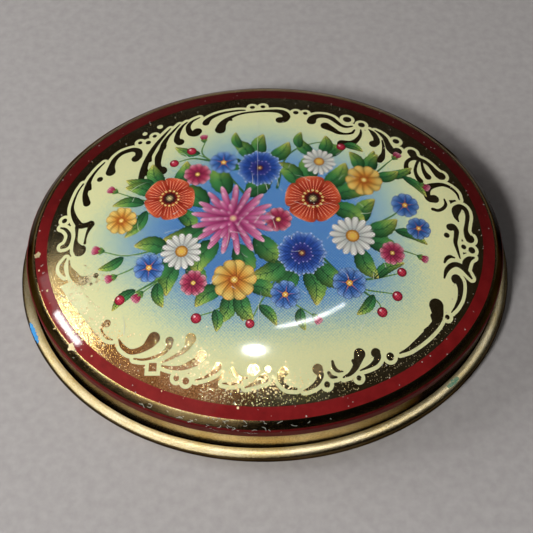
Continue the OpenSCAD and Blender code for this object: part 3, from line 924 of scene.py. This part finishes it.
# Each stem is its points on the plan, and each leaf its foot, tip, width and bow.
STEMS = [
    ((-8, -1), (-15, -3.6), (-21.2, -4.8), (-25.4, -3.6)), ((-15, -3.6), (-20.0, -6.8), (-23.2, -8.0)),
    ((-10, -4), (-15.6, -8.8), (-19.0, -11.2)), ((-15.6, -8.8), (-19.6, -10.8), (-22.0, -11.8)),
    ((-3, 5), (-7.4, 11.2), (-11.2, 14.0)), ((-6.8, 10.6), (-9.8, 13.6), (-9.4, 16.4)),
    ((-8.2, 12.0), (-11.4, 12.8), (-14.0, 12.2)), ((2, 6), (4.0, 12.8), (9.0, 15.6), (12.4, 15.0)),
    ((10, 3), (16.6, 7.8), (22.0, 9.2), (25.2, 7.6)), ((16.6, 7.8), (20.0, 11.4), (21.2, 12.6)),
    ((12, -1), (18.6, -1.6), (23.6, -1.0)), ((15.8, -1.6), (20.4, 1.4), (21.6, 2.8)),
    ((15.8, -1.6), (18.8, -4.2), (23.4, -5.8)), ((8, -6), (13.2, -11.2), (19.2, -12.4)),
    ((13.2, -11.2), (16.4, -13.6), (17.0, -14.8)), ((12.2, -10.4), (16.2, -10.0), (20.2, -9.0)),
    ((2, -8), (3.0, -13.0), (6.6, -15.9)), ((-3, -8), (-6.8, -14.0), (-10.4, -15.5)),
    ((-12, 3), (-18.4, 2.4), (-23.2, 1.8)), ((-12, 3), (-19.0, 5.0), (-23.6, 7.2)),
    ((4, -6), (-1.0, -13.6), (-2.6, -16.6)),
]
LEAVES = [
    ((-17.6, 8.4), (-22.2, 9.4), 2.1, 0.1), ((-19.0, 4.4), (-24.2, 4.6), 2.0, -0.1),
    ((-18.6, 3.0), (-22.0, -1.6), 1.9, 0.1), ((13.2, 15.2), (16.4, 13.8), 1.5, 0.12),
    ((6.0, 14.4), (6.4, 18.0), 1.6, 0.1), ((19.6, 8.8), (24.2, 11.0), 1.8, -0.1),
    ((20.2, -1.6), (25.2, -3.8), 1.7, 0.1), ((16.2, -10.0), (21.2, -7.2), 1.8, 0.1),
    ((4.8, -14.8), (5.4, -18.2), 1.6, -0.1), ((-8.0, -14.6), (-7.8, -18.0), 1.7, 0.1),
    ((-16.6, -9.8), (-15.8, -13.8), 1.9, -0.1), ((-22.0, -5.0), (-26.0, -6.6), 1.7, 0.1),
    ((-10.2, 13.8), (-14.4, 15.6), 1.7, 0.1), ((18.0, 10.0), (18.2, 14.2), 1.7, 0.1),
    ((16.0, -12.6), (13.2, -15.8), 1.7, 0.1), ((-20.0, -10.6), (-23.6, -13.6), 1.6, -0.1),
    ((-1.4, -14.2), (1.2, -17.4), 1.6, 0.1), ((-3.6, 14.6), (-4.4, 18.2), 1.6, 0.1),
    ((22.4, 9.0), (26.0, 5.2), 1.5, 0.1), ((-4.6, -13.6), (-3.8, -16.6), 1.5, 0.1),
]
# Each large flower has a collar of leaves: its middle, how far out they start and end, and their headings
# in degrees.
COLLARS = [
    ((-5.0, 0.6), 4.6, 11.4, (62, 98, 148, 196, 238, 276, 318)),
    ((7.6, 4.0), 3.2, 9.2, (8, 52, 88, 128, 330)), ((-15.0, 5.0), 2.8, 7.8, (70, 112, 158, 300)),
    ((5.4, -5.8), 2.6, 8.8, (250, 282, 322, 205)), ((13.4, -2.8), 2.4, 8.0, (296, 336, 24, 60)),
    ((-13.0, -4.8), 2.2, 7.6, (168, 212, 252, 292)), ((-0.6, 10.2), 2.4, 7.4, (48, 84, 126, 160)),
    ((-5.0, -10.0), 2.2, 7.2, (214, 250, 292, 334)), ((16.0, 7.8), 2.0, 6.2, (20, 64, 108)),
    ((9.0, 11.4), 1.8, 6.0, (36, 76, 120)),
]
for knots in STEMS:
    thread(greenery, knots, STEM, STEM_RISE, [(0.0, "#2B5F3C"), (1.0, "#6E9850")])
for number, (base, tip, width, bow) in enumerate(LEAVES):
    leaf(greenery, base, tip, width, bow, LEAF_RISE + 2 * NEXT_INK * (number % 12))
COLLAR_WIDTH = 0.52
COLLAR_BOW = 0.12
number = 0
for centre, start, end, headings in COLLARS:
    for degrees in headings:
        way = heading(math.radians(degrees))
        bow = COLLAR_BOW if number % 2 else -COLLAR_BOW
        leaf(greenery, centre + start * way, centre + end * way, COLLAR_WIDTH * (end - start), bow,
             LEAF_RISE + 2 * NEXT_INK * (number % 13))
        number += 1
ink_piece("print_stems_and_leaves", np.concatenate(greenery["points"]), greenery["faces"], process_inks,
          np.concatenate(greenery["inks"]))


def petal(layer, centre, angle, start, end, width, rise, stops, blunt=0.5, shade=0.45, tone=1.0):
    """Adds one petal that runs outward from a flower's centre, shaded along it and at its edges."""
    shares = 1 - (1 - np.linspace(0, 1, PETAL_STEPS)) ** 1.4
    line = np.array(centre) + np.outer(start + (end - start) * shares, heading(angle))
    half = width / 2 * (0.35 + 0.65 * shares) * (1 - shares ** (2 + 6 * blunt)) ** 0.5 + 0.01
    along, across = ribbon(layer, line, half, rise)[:2]
    edge = 1 - shade * np.abs(across) ** 3
    layer["inks"].append(toned(inks(stops, along), tone * edge))


def disc(layer, centre, radius, rise, stops, waves=0, depth=0.0):
    """Adds a round patch, plain or wavy, coloured from its middle outward."""
    corners = 40
    angles = np.arange(corners) * 2 * np.pi / corners
    share = spot(layer, centre, radius * (1 + depth * np.cos(waves * angles)), rise, rings=6)[0]
    layer["inks"].append(inks(stops, share))


random.seed(21)
flowers = new_layer()
PINK = [(0.0, "#7E1D55"), (0.35, "#B83F7C"), (0.75, "#DE86AE"), (1.0, "#F6D5E0")]
SCARLET = [(0.0, "#7A1512"), (0.4, "#C43A22"), (0.8, "#DE5E3A"), (1.0, "#F0A47C")]
CORN_BLUE = [(0.0, "#1B2F78"), (0.5, "#2F55AC"), (0.8, "#6C93D6"), (1.0, "#DCE7F6")]
WHITE = [(0.0, "#A9B4B0"), (0.4, "#E4E4DA"), (1.0, "#FBFAF2")]
YELLOW = [(0.0, "#B8431C"), (0.3, "#E09A3C"), (0.7, "#F2D273"), (1.0, "#F0B055")]
SKY = [(0.0, "#23498F"), (0.45, "#3F6FBA"), (0.85, "#86AADC"), (1.0, "#1F4488")]
ROSE_BUD = [(0.0, "#7A1B3C"), (0.5, "#B83C5E"), (1.0, "#EAA9B4")]


def dahlia(layer, centre, radius, rise):
    """A full pink flower head of five rings of narrow petals, each ring shorter than the one below."""
    for ring, (count, share) in enumerate(((17, 1.0), (15, 0.8), (12, 0.6), (9, 0.4), (6, 0.22))):
        reach = radius * share
        for k in range(count):
            angle = (k + 0.5 * ring) * 2 * math.pi / count
            petal(layer, centre, angle, start=0.1 * reach, end=reach * random.uniform(0.94, 1.0),
                  width=1.25 * math.pi * reach / count, rise=rise, stops=PINK, blunt=0.15, shade=0.5,
                  tone=random.uniform(0.86, 1.08))
            rise += NEXT_INK / 2
    disc(layer, centre, 0.1 * radius, rise + NEXT_INK, [(0.0, "#F4D8A0"), (1.0, "#B83F7C")])


def poppy(layer, centre, radius, turn, rise):
    """A scarlet flower of broad crinkled petals round a dark eye with a ring of pale stamens."""
    petals, folds, stamens = 5, 13, 14
    light_and_dark = ([(0.0, "#D8552F"), (1.0, "#F6BE9A")], [(0.0, "#6A0F10"), (1.0, "#A82A1C")])
    for k in range(petals):
        angle = turn + 2 * k % petals * 2 * math.pi / petals
        higher = rise + k * NEXT_INK * 3
        petal(layer, centre, angle, start=0.05 * radius, end=radius, width=1.36 * radius, rise=higher,
              stops=SCARLET, blunt=0.75, shade=0.4)
        for number, fold in enumerate(np.linspace(-0.52, 0.52, folds)):
            start = np.array(centre) + random.uniform(0.3, 0.45) * radius * heading(angle + fold)
            end = np.array(centre) + radius * random.uniform(0.8, 0.97) * heading(angle + fold)
            thread(layer, [start, (start + end) / 2, end], FOLD, higher + NEXT_INK,
                   light_and_dark[number % 2])
    rise += 18 * NEXT_INK
    disc(layer, centre, 0.27 * radius, rise, [(0.0, "#F2DF9A"), (0.55, "#2A1A1A"), (1.0, "#571414")],
         waves=9, depth=0.08)
    for k in range(stamens):
        place = np.array(centre) + 0.36 * radius * heading(k * 2 * math.pi / stamens + 0.2)
        disc(layer, place, 0.055 * radius, rise + NEXT_INK, [(0.0, "#F6E7A8"), (1.0, "#D0A248")])


def cornflower(layer, centre, radius, rise):
    """A blue flower of flared, split outer florets round a darker tuft."""
    florets, tuft = 11, 16
    for k in range(florets):
        angle = k * 2 * math.pi / florets
        for split, reach in ((-0.17, 0.93), (0.17, 0.93), (0.0, 1.0)):
            petal(layer, centre, angle + split, start=0.2 * radius, end=radius * reach, width=0.4 * radius,
                  rise=rise, stops=CORN_BLUE, blunt=0.05, shade=0.55, tone=random.uniform(0.85, 1.1))
            rise += NEXT_INK / 2
    for k in range(tuft):
        angle = k * 2 * math.pi / tuft + 0.1
        petal(layer, centre, angle, start=0.05 * radius, end=radius * random.uniform(0.4, 0.5),
              width=0.16 * radius, rise=rise, stops=[(0.0, "#14205A"), (0.7, "#3B3F98"), (1.0, "#B7B4E2")],
              blunt=0.2, shade=0.3)
    disc(layer, centre, 0.16 * radius, rise + NEXT_INK,
         [(0.0, "#F0D890"), (0.5, "#7A3C2A"), (1.0, "#1B1F55")])


def daisy(layer, centre, radius, turn, rise):
    """A white flower of narrow petals round a yellow button."""
    petals, florets = 15, 9
    for k in range(petals):
        petal(layer, centre, turn + k * 2 * math.pi / petals, start=0.2 * radius,
              end=radius * random.uniform(0.92, 1.0), width=0.42 * radius, rise=rise, stops=WHITE, blunt=0.5,
              shade=0.62, tone=random.uniform(0.88, 1.0))
        rise += NEXT_INK / 2
    disc(layer, centre, 0.3 * radius, rise, [(0.0, "#F4D45E"), (0.6, "#DDA033"), (1.0, "#8E5420")],
         waves=12, depth=0.04)
    for k in range(florets):
        place = np.array(centre) + 0.17 * radius * heading(k * 2 * math.pi / florets)
        disc(layer, place, 0.045 * radius, rise + NEXT_INK, [(0.0, "#FBEFB0"), (1.0, "#D48A28")])


def primrose(layer, centre, radius, turn, rise, stops, eye):
    """A flower of five notched petals round a small eye, used in yellow, pink and blue."""
    petals = 5
    vein_stops = [(0.0, eye), (1.0, stops[1][1])]
    for k in range(petals):
        angle = turn + k * 2 * math.pi / petals
        for split in (-0.27, 0.27):
            petal(layer, centre, angle + split, start=0.04 * radius, end=radius, width=0.78 * radius,
                  rise=rise, stops=stops, blunt=0.6, shade=0.62, tone=random.uniform(0.92, 1.05))
            rise += NEXT_INK / 2
        start = np.array(centre) + 0.2 * radius * heading(angle)
        end = np.array(centre) + 0.8 * radius * heading(angle)
        thread(layer, [start, (start + end) / 2, end], VEIN, rise + NEXT_INK, vein_stops)
    disc(layer, centre, 0.2 * radius, rise + 2 * NEXT_INK,
         [(0.0, "#FBEDB4"), (0.6, "#E8B84A"), (1.0, eye)])


def bud(layer, centre, size, turn, rise):
    """A closed pink bud held in a green cup."""
    cup = np.array(centre) - 0.55 * size * heading(turn)
    for way in (-0.35, 0.35, 0.0):
        petal(layer, centre, turn + way, start=-0.4 * size, end=size, width=0.95 * size, rise=rise,
              stops=ROSE_BUD, blunt=0.3, shade=0.45)
        rise += NEXT_INK
    for way in (-0.6, 0.6, 0.0):
        petal(layer, cup, turn + way, start=0, end=0.75 * size, width=0.4 * size, rise=rise,
              stops=[(0.0, "#2F6B3A"), (1.0, "#86A94C")], blunt=0.1, shade=0.3)


def berry(layer, centre, radius, rise):
    """A round red berry with a lit side."""
    disc(layer, centre, radius, rise, [(0.0, "#D8465A"), (0.7, "#A51E36"), (1.0, "#66101F")])
    lit = np.array(centre) + np.array([-0.3, 0.35]) * radius
    disc(layer, lit, 0.28 * radius, rise + NEXT_INK, [(0.0, "#FBE6E6"), (1.0, "#E0707E")])


# Each bud and flower is its middle on the plan, its size or radius, and mostly its turn in radians.
for centre, size, turn in (((-25.8, -3.4), 1.4, 2.9), ((-23.6, -8.2), 1.3, 3.4), ((-19.4, -11.5), 1.4, 3.9),
                           ((25.6, 7.4), 1.3, -0.5), ((21.6, 13.0), 1.3, 0.9), ((23.9, -6.1), 1.2, -0.4),
                           ((-9.6, 16.8), 1.2, 1.6), ((7.0, -16.2), 1.2, -0.9), ((-24.0, 7.5), 1.3, 2.6)):
    bud(flowers, centre, size, turn, SMALL_RISE)
for centre, radius in (((-11.6, 14.4), 0.8), ((-14.4, 12.0), 0.75), ((-22.4, -12.0), 0.8),
                       ((19.6, -12.7), 0.8), ((17.1, -15.3), 0.8), ((20.6, -8.8), 0.75),
                       ((-10.8, -15.8), 0.8), ((12.8, 14.7), 0.75), ((-2.8, -17.0), 0.7)):
    berry(flowers, centre, radius, SMALL_RISE)
for centre, radius, turn in (((22.2, 3.2), 2.3, 0.2), ((24.0, -1.0), 2.0, 0.8), ((12.4, -10.8), 2.6, 0.5),
                             ((2.6, -12.6), 2.3, 0.1), ((-18.0, -7.2), 2.4, 0.9), ((-6.4, 11.6), 2.3, 0.3)):
    primrose(flowers, centre, radius, turn, SMALL_RISE, SKY, "#C2662A")
for centre, radius, turn in (((-10.6, 9.4), 2.2, 0.5), ((-11.2, -10.2), 2.1, 0.2), ((19.4, -5.6), 2.0, 0.7),
                             ((2.0, 0.2), 2.2, 0.4)):
    primrose(flowers, centre, radius, turn, SMALL_RISE, ROSE_BUD, "#7A1B3C")
for centre, radius, turn in (((-5.0, -10.0), 3.4, 0.3), ((16.0, 7.8), 3.0, 0.9), ((-22.6, 1.6), 2.5, 0.1)):
    primrose(flowers, centre, radius, turn, SMALL_RISE, YELLOW, "#A03016")
cornflower(flowers, (-0.6, 10.2), 3.7, SMALL_RISE)
cornflower(flowers, (5.4, -5.8), 3.9, SMALL_RISE)
daisy(flowers, (13.4, -2.8), 3.6, 0.1, LARGE_RISE)
daisy(flowers, (-13.0, -4.8), 3.3, 0.3, LARGE_RISE)
daisy(flowers, (9.0, 11.4), 2.8, 0.2, LARGE_RISE)
poppy(flowers, (7.6, 4.0), 4.4, 0.4, LARGE_RISE)
poppy(flowers, (-15.0, 5.0), 4.0, 1.2, LARGE_RISE)
dahlia(flowers, (-5.0, 0.6), 6.7, LARGE_RISE + 20 * NEXT_INK)
ink_piece("print_flowers", np.concatenate(flowers["points"]), flowers["faces"], process_inks,
          np.concatenate(flowers["inks"]))

# Wear and dust: years of handling have flecked the cream down to the gold at the front left, chipped the red
# to bare tin in a few places, scratched the varnish, and left lint on the shoulder. A blue and a green smear
# lie on the rim. The large marks are placed, and the small ones strewn.
FLECK_RISE = 0.021
SCRATCH_RISE = 0.118
CHIP_RISE = 0.02
FLUFF = 0.2
random.seed(33)

# Dry lint and scuffs: pale, uneven and quite matt, so that they stand out from the gloss round them.
lint, tree, shader = new_material("dry_lint_and_scuffs")
where = node(tree, "TexCoord").outputs["Object"]
fluff = node(tree, "TexNoise", {"Vector": where, "Scale": 1 / (FLUFF * MM), "Detail": 3.0})
uneven = node(tree, "MapRange", {"Value": fluff.outputs["Fac"], "To Min": 0.6, "To Max": 1.2})
pale = node(tree, "Attribute", attribute_name="ink").outputs["Color"]
dusted = node(tree, "VectorMath", {0: pale, "Scale": uneven.outputs["Result"]}, operation="SCALE")
tree.links.new(dusted.outputs["Vector"], shader.inputs["Base Color"])
shader.inputs["Roughness"].default_value = 0.95

# Each worn patch is its middle on the plan and its spread along x and y, in mm.
WORN = [(-29.4, -10.6, 1.6, 2.6), (-27.2, -14.2, 1.8, 1.6), (-24.0, -17.2, 1.8, 1.0),
        (-12.0, -22.4, 3.0, 1.6), (-5.0, -25.2, 3.4, 0.9), (1.5, -25.4, 2.4, 1.0), (-27.6, -8.2, 1.4, 0.8)]
FLECKS_EACH = 170
FLECK_LEAST = 0.05
FLECK_MORE = 0.17
FLECK_CORNERS = 7
# Finer flecks sparkle in the gold inside the ring, from the front to the right, in degrees and mm.
SPARKLES = 560
SPARKLE_FROM = 252
SPARKLE_SPAN = 74
SPARKLE_INSET = (0.15, 2.4)
SPARKLE_SIZE = (0.03, 0.08)
SPARKLE_CORNERS = 6
flecks = new_layer()
for middle_x, middle_y, spread_x, spread_y in WORN:
    for count in range(FLECKS_EACH):
        centre = (random.gauss(middle_x, spread_x), random.gauss(middle_y, spread_y))
        size = FLECK_LEAST + FLECK_MORE * random.random() ** 3
        radii = [size * random.uniform(0.5, 1.2) for corner in range(FLECK_CORNERS)]
        spot(flecks, centre, radii, FLECK_RISE, rings=2)
sparkle = random.Random(5)
for count in range(SPARKLES):
    turn = math.radians(SPARKLE_FROM + SPARKLE_SPAN * sparkle.random() ** 1.3)
    inset = sparkle.uniform(*SPARKLE_INSET)
    centre = ((RING_INNER[0] - inset) * math.cos(turn),
              (RING_INNER[1] - inset) * math.sin(turn) + RING_INNER[2])
    spot(flecks, centre, [sparkle.uniform(*SPARKLE_SIZE)] * SPARKLE_CORNERS, FLECK_RISE, rings=2)
gold_flecks = ink_piece("wear_gold_flecks", np.concatenate(flecks["points"]), flecks["faces"], gold_lacquer)
lies_on_dome(gold_flecks)

# Each chip is its middle on the plan and its size.
CHIPS = [((-36.15, -2.1), 0.62), ((-29.8, -18.1), 0.6), ((-35.7, -4.9), 0.16), ((-4.83, -28.8), 0.2)]
CHIP_CORNERS = 13
FLECK_RUBBED = 0.7
CHIP_RUBBED = 1.0
chips = new_layer()
for centre, size in CHIPS:
    radii = [size * random.uniform(0.6, 1.15) for corner in range(CHIP_CORNERS)]
    spot(chips, centre, radii, CHIP_RISE, rings=3)
tin_chips = ink_piece("wear_bare_tin_chips", np.concatenate(chips["points"]), chips["faces"], gold_lacquer)
for piece, share in ((gold_flecks, FLECK_RUBBED), (tin_chips, CHIP_RUBBED)):
    bare = piece.data.attributes.new("rubbed", "FLOAT", "POINT")
    bare.data.foreach_set("value", np.full(len(piece.data.vertices), share, dtype=np.float32))

# Four motes of dust in five lie on the ring and beside it, and the fifth anywhere inside it. Scratches run
# mostly from front to back, and the long ones are placed.
PALE_DUST = [(0.0, "#DAD6CC"), (1.0, "#B9B5AB")]
SCRATCH = [(0.0, "#DDE0D2"), (1.0, "#B9C4BE")]
MOTES = 150
RING_SHARE = 0.86
SCRATCHES = 44
LONG_SCRATCHES = (((-0.7, 20.9), (-0.9, 12.0), (-1.1, 3.0)), ((-1.4, -14.0), (-1.7, -21.0), (-1.9, -27.4)),
                  ((4.6, 3.4), (7.4, 2.6), (10.6, 3.2)), ((-19.4, -5.2), (-21.8, -4.6), (-23.6, -4.9)))
LONG_SCRATCH = 0.055
dust = new_layer()
for count in range(MOTES):
    turn = random.uniform(0, 2 * math.pi)
    share = random.uniform(RING_SHARE, 1.0) if count % 5 else random.uniform(0.1, RING_SHARE)
    centre = (share * RING_OUTER[0] * math.cos(turn), share * RING_OUTER[1] * math.sin(turn) + RING_OUTER[2])
    disc(dust, centre, random.uniform(0.04, 0.1), SCRATCH_RISE, PALE_DUST, waves=3, depth=0.3)
for count in range(SCRATCHES):
    start = np.array([random.uniform(-22, 22), random.uniform(-19, 14)])
    angle = random.gauss(1.5, 0.8)
    run = random.uniform(0.6, 3.2) * heading(angle)
    bow = random.uniform(-0.12, 0.12) * np.array([-run[1], run[0]])
    knots = [start, start + run / 2 + bow, start + run]
    thread(dust, knots, random.uniform(0.05, 0.1), SCRATCH_RISE, SCRATCH)
for knots in LONG_SCRATCHES:
    thread(dust, knots, LONG_SCRATCH, SCRATCH_RISE, SCRATCH)
ink_piece("wear_scratches_and_dust", np.concatenate(dust["points"]), dust["faces"], lint,
          np.concatenate(dust["inks"]))

# Lint lies in short threads on the shoulder, by mm round the rim from the front and mm down from the ring.
LINT_RISE = 0.03
LINT_THREADS = 46
LINT_HALF = 0.035
LINT_STEPS = 9
lid_face = np.array([v.co for v in lid_shell.data.vertices]) / MM
lid_face = lid_face[:len(lid_rings) * AROUND].reshape(-1, AROUND, 3)[SHOULDER_RING - 1:CURL_RING]
front = AROUND // 2
fall_from_ring = np.concatenate([[0], np.cumsum(np.linalg.norm(np.diff(lid_face[:, front], axis=0), axis=1))])
MIDDLE_RING = 4
column_step = np.linalg.norm(lid_face[MIDDLE_RING, front + 1] - lid_face[MIDDLE_RING, front])


def on_shoulder(around, down):
    """Point on the lid's shoulder or skirt near its front."""
    ring = np.interp(down, fall_from_ring, np.arange(len(fall_from_ring)))
    column = around / column_step
    i, j = min(int(ring), len(lid_face) - 2), front + math.floor(column)
    along, across = ring - i, column - math.floor(column)
    near = lid_face[i, j] * (1 - across) + lid_face[i, j + 1] * across
    far = lid_face[i + 1, j] * (1 - across) + lid_face[i + 1, j + 1] * across
    out = np.cross(far - near, lid_face[i, j + 1] - lid_face[i, j])
    return near * (1 - along) + far * along + LINT_RISE * out / np.linalg.norm(out)


points = []
faces = []
for count in range(LINT_THREADS):
    place = np.array([random.gauss(-6.5, 6.0), random.uniform(0.3, 2.6)])
    run = random.uniform(0.2, 0.95) * heading(random.uniform(-0.9, 0.9))
    bow = random.uniform(-0.3, 0.3) * np.array([-run[1], run[0]])
    line = smooth_line([place, place + run / 2 + bow, place + run], np.linspace(0, 1, LINT_STEPS))
    side = LINT_HALF * np.array([-run[1], run[0]]) / np.linalg.norm(run)
    for way in (-1, 1):
        points += [on_shoulder(*(p + way * side)) for p in line]
    faces += grid_faces(2, len(line), len(points) - 2 * len(line))
ink_piece("wear_lint_on_shoulder", points, faces, lint, inks([(0.0, "#A9ABA2")], np.zeros(len(points))))


def rim_smear(name, turn, turned, length, height, stops):
    """A smear of colour on the curl, at a turn round the rim and an angle round the curl. Its length
    round the rim and its height round the curl are in degrees too."""
    reach = CURL_MID + SHEET / 2 + INK
    points = []
    rows, columns = 7, 19
    taper = [math.sin(math.pi * (k + 0.5) / columns) ** 0.4 for k in range(columns)]
    widths = [random.uniform(0.5, 1.0) * share for share in taper]
    for across in np.linspace(-1, 1, rows):
        for k in range(columns):
            place = math.radians(turn + length * (k / (columns - 1) - 0.5))
            angle = math.radians(turned + height / 2 * across * widths[k])
            out = np.array([LID_WIDTH * math.cos(place), LID_LENGTH * math.sin(place)])
            out *= (CURL_OUT + reach * math.cos(angle)) / np.linalg.norm(out)
            points.append((LID_LENGTH / 2 * math.cos(place) + out[0],
                           LID_WIDTH / 2 * math.sin(place) + out[1], CURL_UP + reach * math.sin(angle)))
    shares = np.array([random.random() for p in points])
    ink_piece(name, points, [f[::-1] for f in grid_faces(rows, columns)], lint, inks(stops, shares))


rim_smear("blue_smear_on_rim", turn=200.5, turned=48, length=6.4, height=54,
          stops=[(0.0, "#1F78C4"), (1.0, "#4FA6DC")])
rim_smear("green_smear_on_rim", turn=317, turned=88, length=4.0, height=50,
          stops=[(0.0, "#2F7F6A"), (0.5, "#7FA88A"), (1.0, "#B9B98A")])

# Camera: at the photograph's angle, about 60 degrees above the table and close to the tin, a little to its
# left and hardly rolled. It aims at a point near the middle of the lid's foot.
FRAME_PIXELS = 533
FOCAL_PIXELS = 1000.0
CAMERA_REACH = 167.2
CAMERA_RISE = math.radians(61.2)
CAMERA_SIDE = math.radians(1.9)
CAMERA_ROLL = math.radians(0.23)
AIM_UP = 2.65
AIM_RIGHT = 0.196
AIM_ABOVE = 0.355
back = Vector((-math.cos(CAMERA_RISE) * math.sin(CAMERA_SIDE),
               -math.cos(CAMERA_RISE) * math.cos(CAMERA_SIDE), math.sin(CAMERA_RISE)))
right = Vector((0, 0, 1)).cross(back).normalized()
above = back.cross(right)
camera = bpy.data.objects.new("camera", bpy.data.cameras.new("camera"))
camera.data.sensor_width = 36.0
camera.data.lens = camera.data.sensor_width * FOCAL_PIXELS / FRAME_PIXELS
camera.data.clip_start = 0.01
target = Vector((0, 0, AIM_UP)) + AIM_RIGHT * right + AIM_ABOVE * above
stance = Matrix((right, above, back)).transposed() @ Matrix.Rotation(CAMERA_ROLL, 3, "Z")
camera.matrix_world = Matrix.Translation((target + CAMERA_REACH * back) * MM) @ stance.to_4x4()
bpy.context.scene.collection.objects.link(camera)
bpy.context.scene.camera = camera

# Floor: one plain pale board under the tin, far wider than the picture.
# Pale grey matt paint: an even, dull grey with a faint nap, on which soft shadows show.
FLOOR = 3.0
NAP = 1.5
floor_paint, tree, shader = new_material("pale_grey_matt_paint")
where = node(tree, "TexCoord").outputs["Object"]
nap = node(tree, "TexNoise", {"Vector": where, "Scale": 1 / (NAP * MM), "Detail": 4.0})
grey = node(tree, "ValToRGB", {"Fac": nap.outputs["Fac"]}, stops=[(0.3, "#A19D9B"), (0.7, "#ACA8A6")])
tree.links.new(grey.outputs["Color"], shader.inputs["Base Color"])
shader.inputs["Roughness"].default_value = 0.9
mesh = bpy.data.meshes.new("floor")
corners = [(-FLOOR, -FLOOR, 0), (FLOOR, -FLOOR, 0), (FLOOR, FLOOR, 0), (-FLOOR, FLOOR, 0)]
mesh.from_pydata(corners, [], [(0, 1, 2, 3)])
mesh.materials.append(floor_paint)
floor = bpy.data.objects.new("floor", mesh)
bpy.context.scene.collection.objects.link(floor)


# Light: two soft boxes at the left and front left light the colours and cast the shadow, and the varnish and
# the gold mirror the rest: a small lamp overhead, one at the left, a bent tube, two dim cards beside the left
# lamp, a strip and a soft box low down. Sizes are in metres and powers in watts.
def lamp(name, towards, distance, power, size, thickness=None, along=(1, 0, 0), colour="#FFFFFF", only=None):
    """A lamp at a distance from the tin in a direction, facing it: round, or a strip laid along a line.
    It may be only lit, so that nothing mirrors it, or only mirrored, so that it lights no colours."""
    data = bpy.data.lights.new(name, "AREA")
    data.shape = "RECTANGLE" if thickness else "DISK"
    data.size = size
    data.size_y = thickness or size
    data.energy = power
    data.color = linear(colour)[:3]
    made = bpy.data.objects.new(name, data)
    aim = Vector(towards).normalized()
    level = aim.cross(Vector(along)).normalized()
    turn = Matrix((level.cross(aim), level, aim)).transposed()
    made.matrix_world = Matrix.Translation(aim * distance) @ turn.to_4x4()
    made.visible_glossy = only != "lit"
    made.visible_diffuse = only != "mirrored"
    bpy.context.scene.collection.objects.link(made)


lamp("lamp_overhead", (-0.034, -0.097, 0.995), distance=0.6, power=1.4, size=0.024, only="mirrored")
lamp("lamp_left", (-0.735, 0.01, 0.69), distance=0.6, power=0.3, size=0.125, thickness=0.024,
     along=(0.04, -0.21, 0.1))
TUBE = [(0.046, 0.05, 0.997), (0.095, 0.061, 0.989), (0.15, 0.08, 0.98), (0.203, 0.111, 0.968),
        (0.254, 0.152, 0.953)]
TUBE_THICKNESS = (0.0045, 0.008, 0.008, 0.0045)
TUBE_POWER = 5.2
TUBE_DISTANCE = 0.6
for start, end, thickness in zip(TUBE[:-1], TUBE[1:], TUBE_THICKNESS):
    span = Vector(end) - Vector(start)
    lamp("lamp_tube", (Vector(start) + Vector(end)) / 2, TUBE_DISTANCE, power=TUBE_POWER * thickness,
         size=TUBE_DISTANCE * span.length, thickness=thickness, along=span)
lamp("pale_card", (-0.71, 0.2, 0.675), distance=0.5, power=0.07, size=0.15, thickness=0.1,
     along=(0.04, -0.21, 0.1))
lamp("warm_card", (-0.45, -0.24, 0.86), distance=0.5, power=0.085, size=0.38, thickness=0.2,
     along=(0.5, -0.45, 0.19), colour="#FFC4B0")
lamp("soft_box_left", (-0.88, 0.1, 0.46), distance=0.45, power=1.05, size=0.3, only="lit")
lamp("soft_box_high", (-0.36, -0.56, 0.75), distance=0.5, power=1.7, size=0.07, only="lit")
lamp("strip_left", (-0.88, -0.36, 0.32), distance=0.45, power=0.62, size=0.5, thickness=0.03,
     along=(0.36, -0.88, 0), only="mirrored")
lamp("soft_box_front", (-0.4, -0.83, 0.38), distance=0.6, power=0.9, size=0.35, only="mirrored")
world = bpy.data.worlds.new("room")
bpy.context.scene.world = world
world.use_nodes = True
room = world.node_tree.nodes["Background"]
room.inputs["Color"].default_value = linear("#FFFFFF")
room.inputs["Strength"].default_value = 0.02
bpy.context.scene.view_settings.view_transform = "Standard"
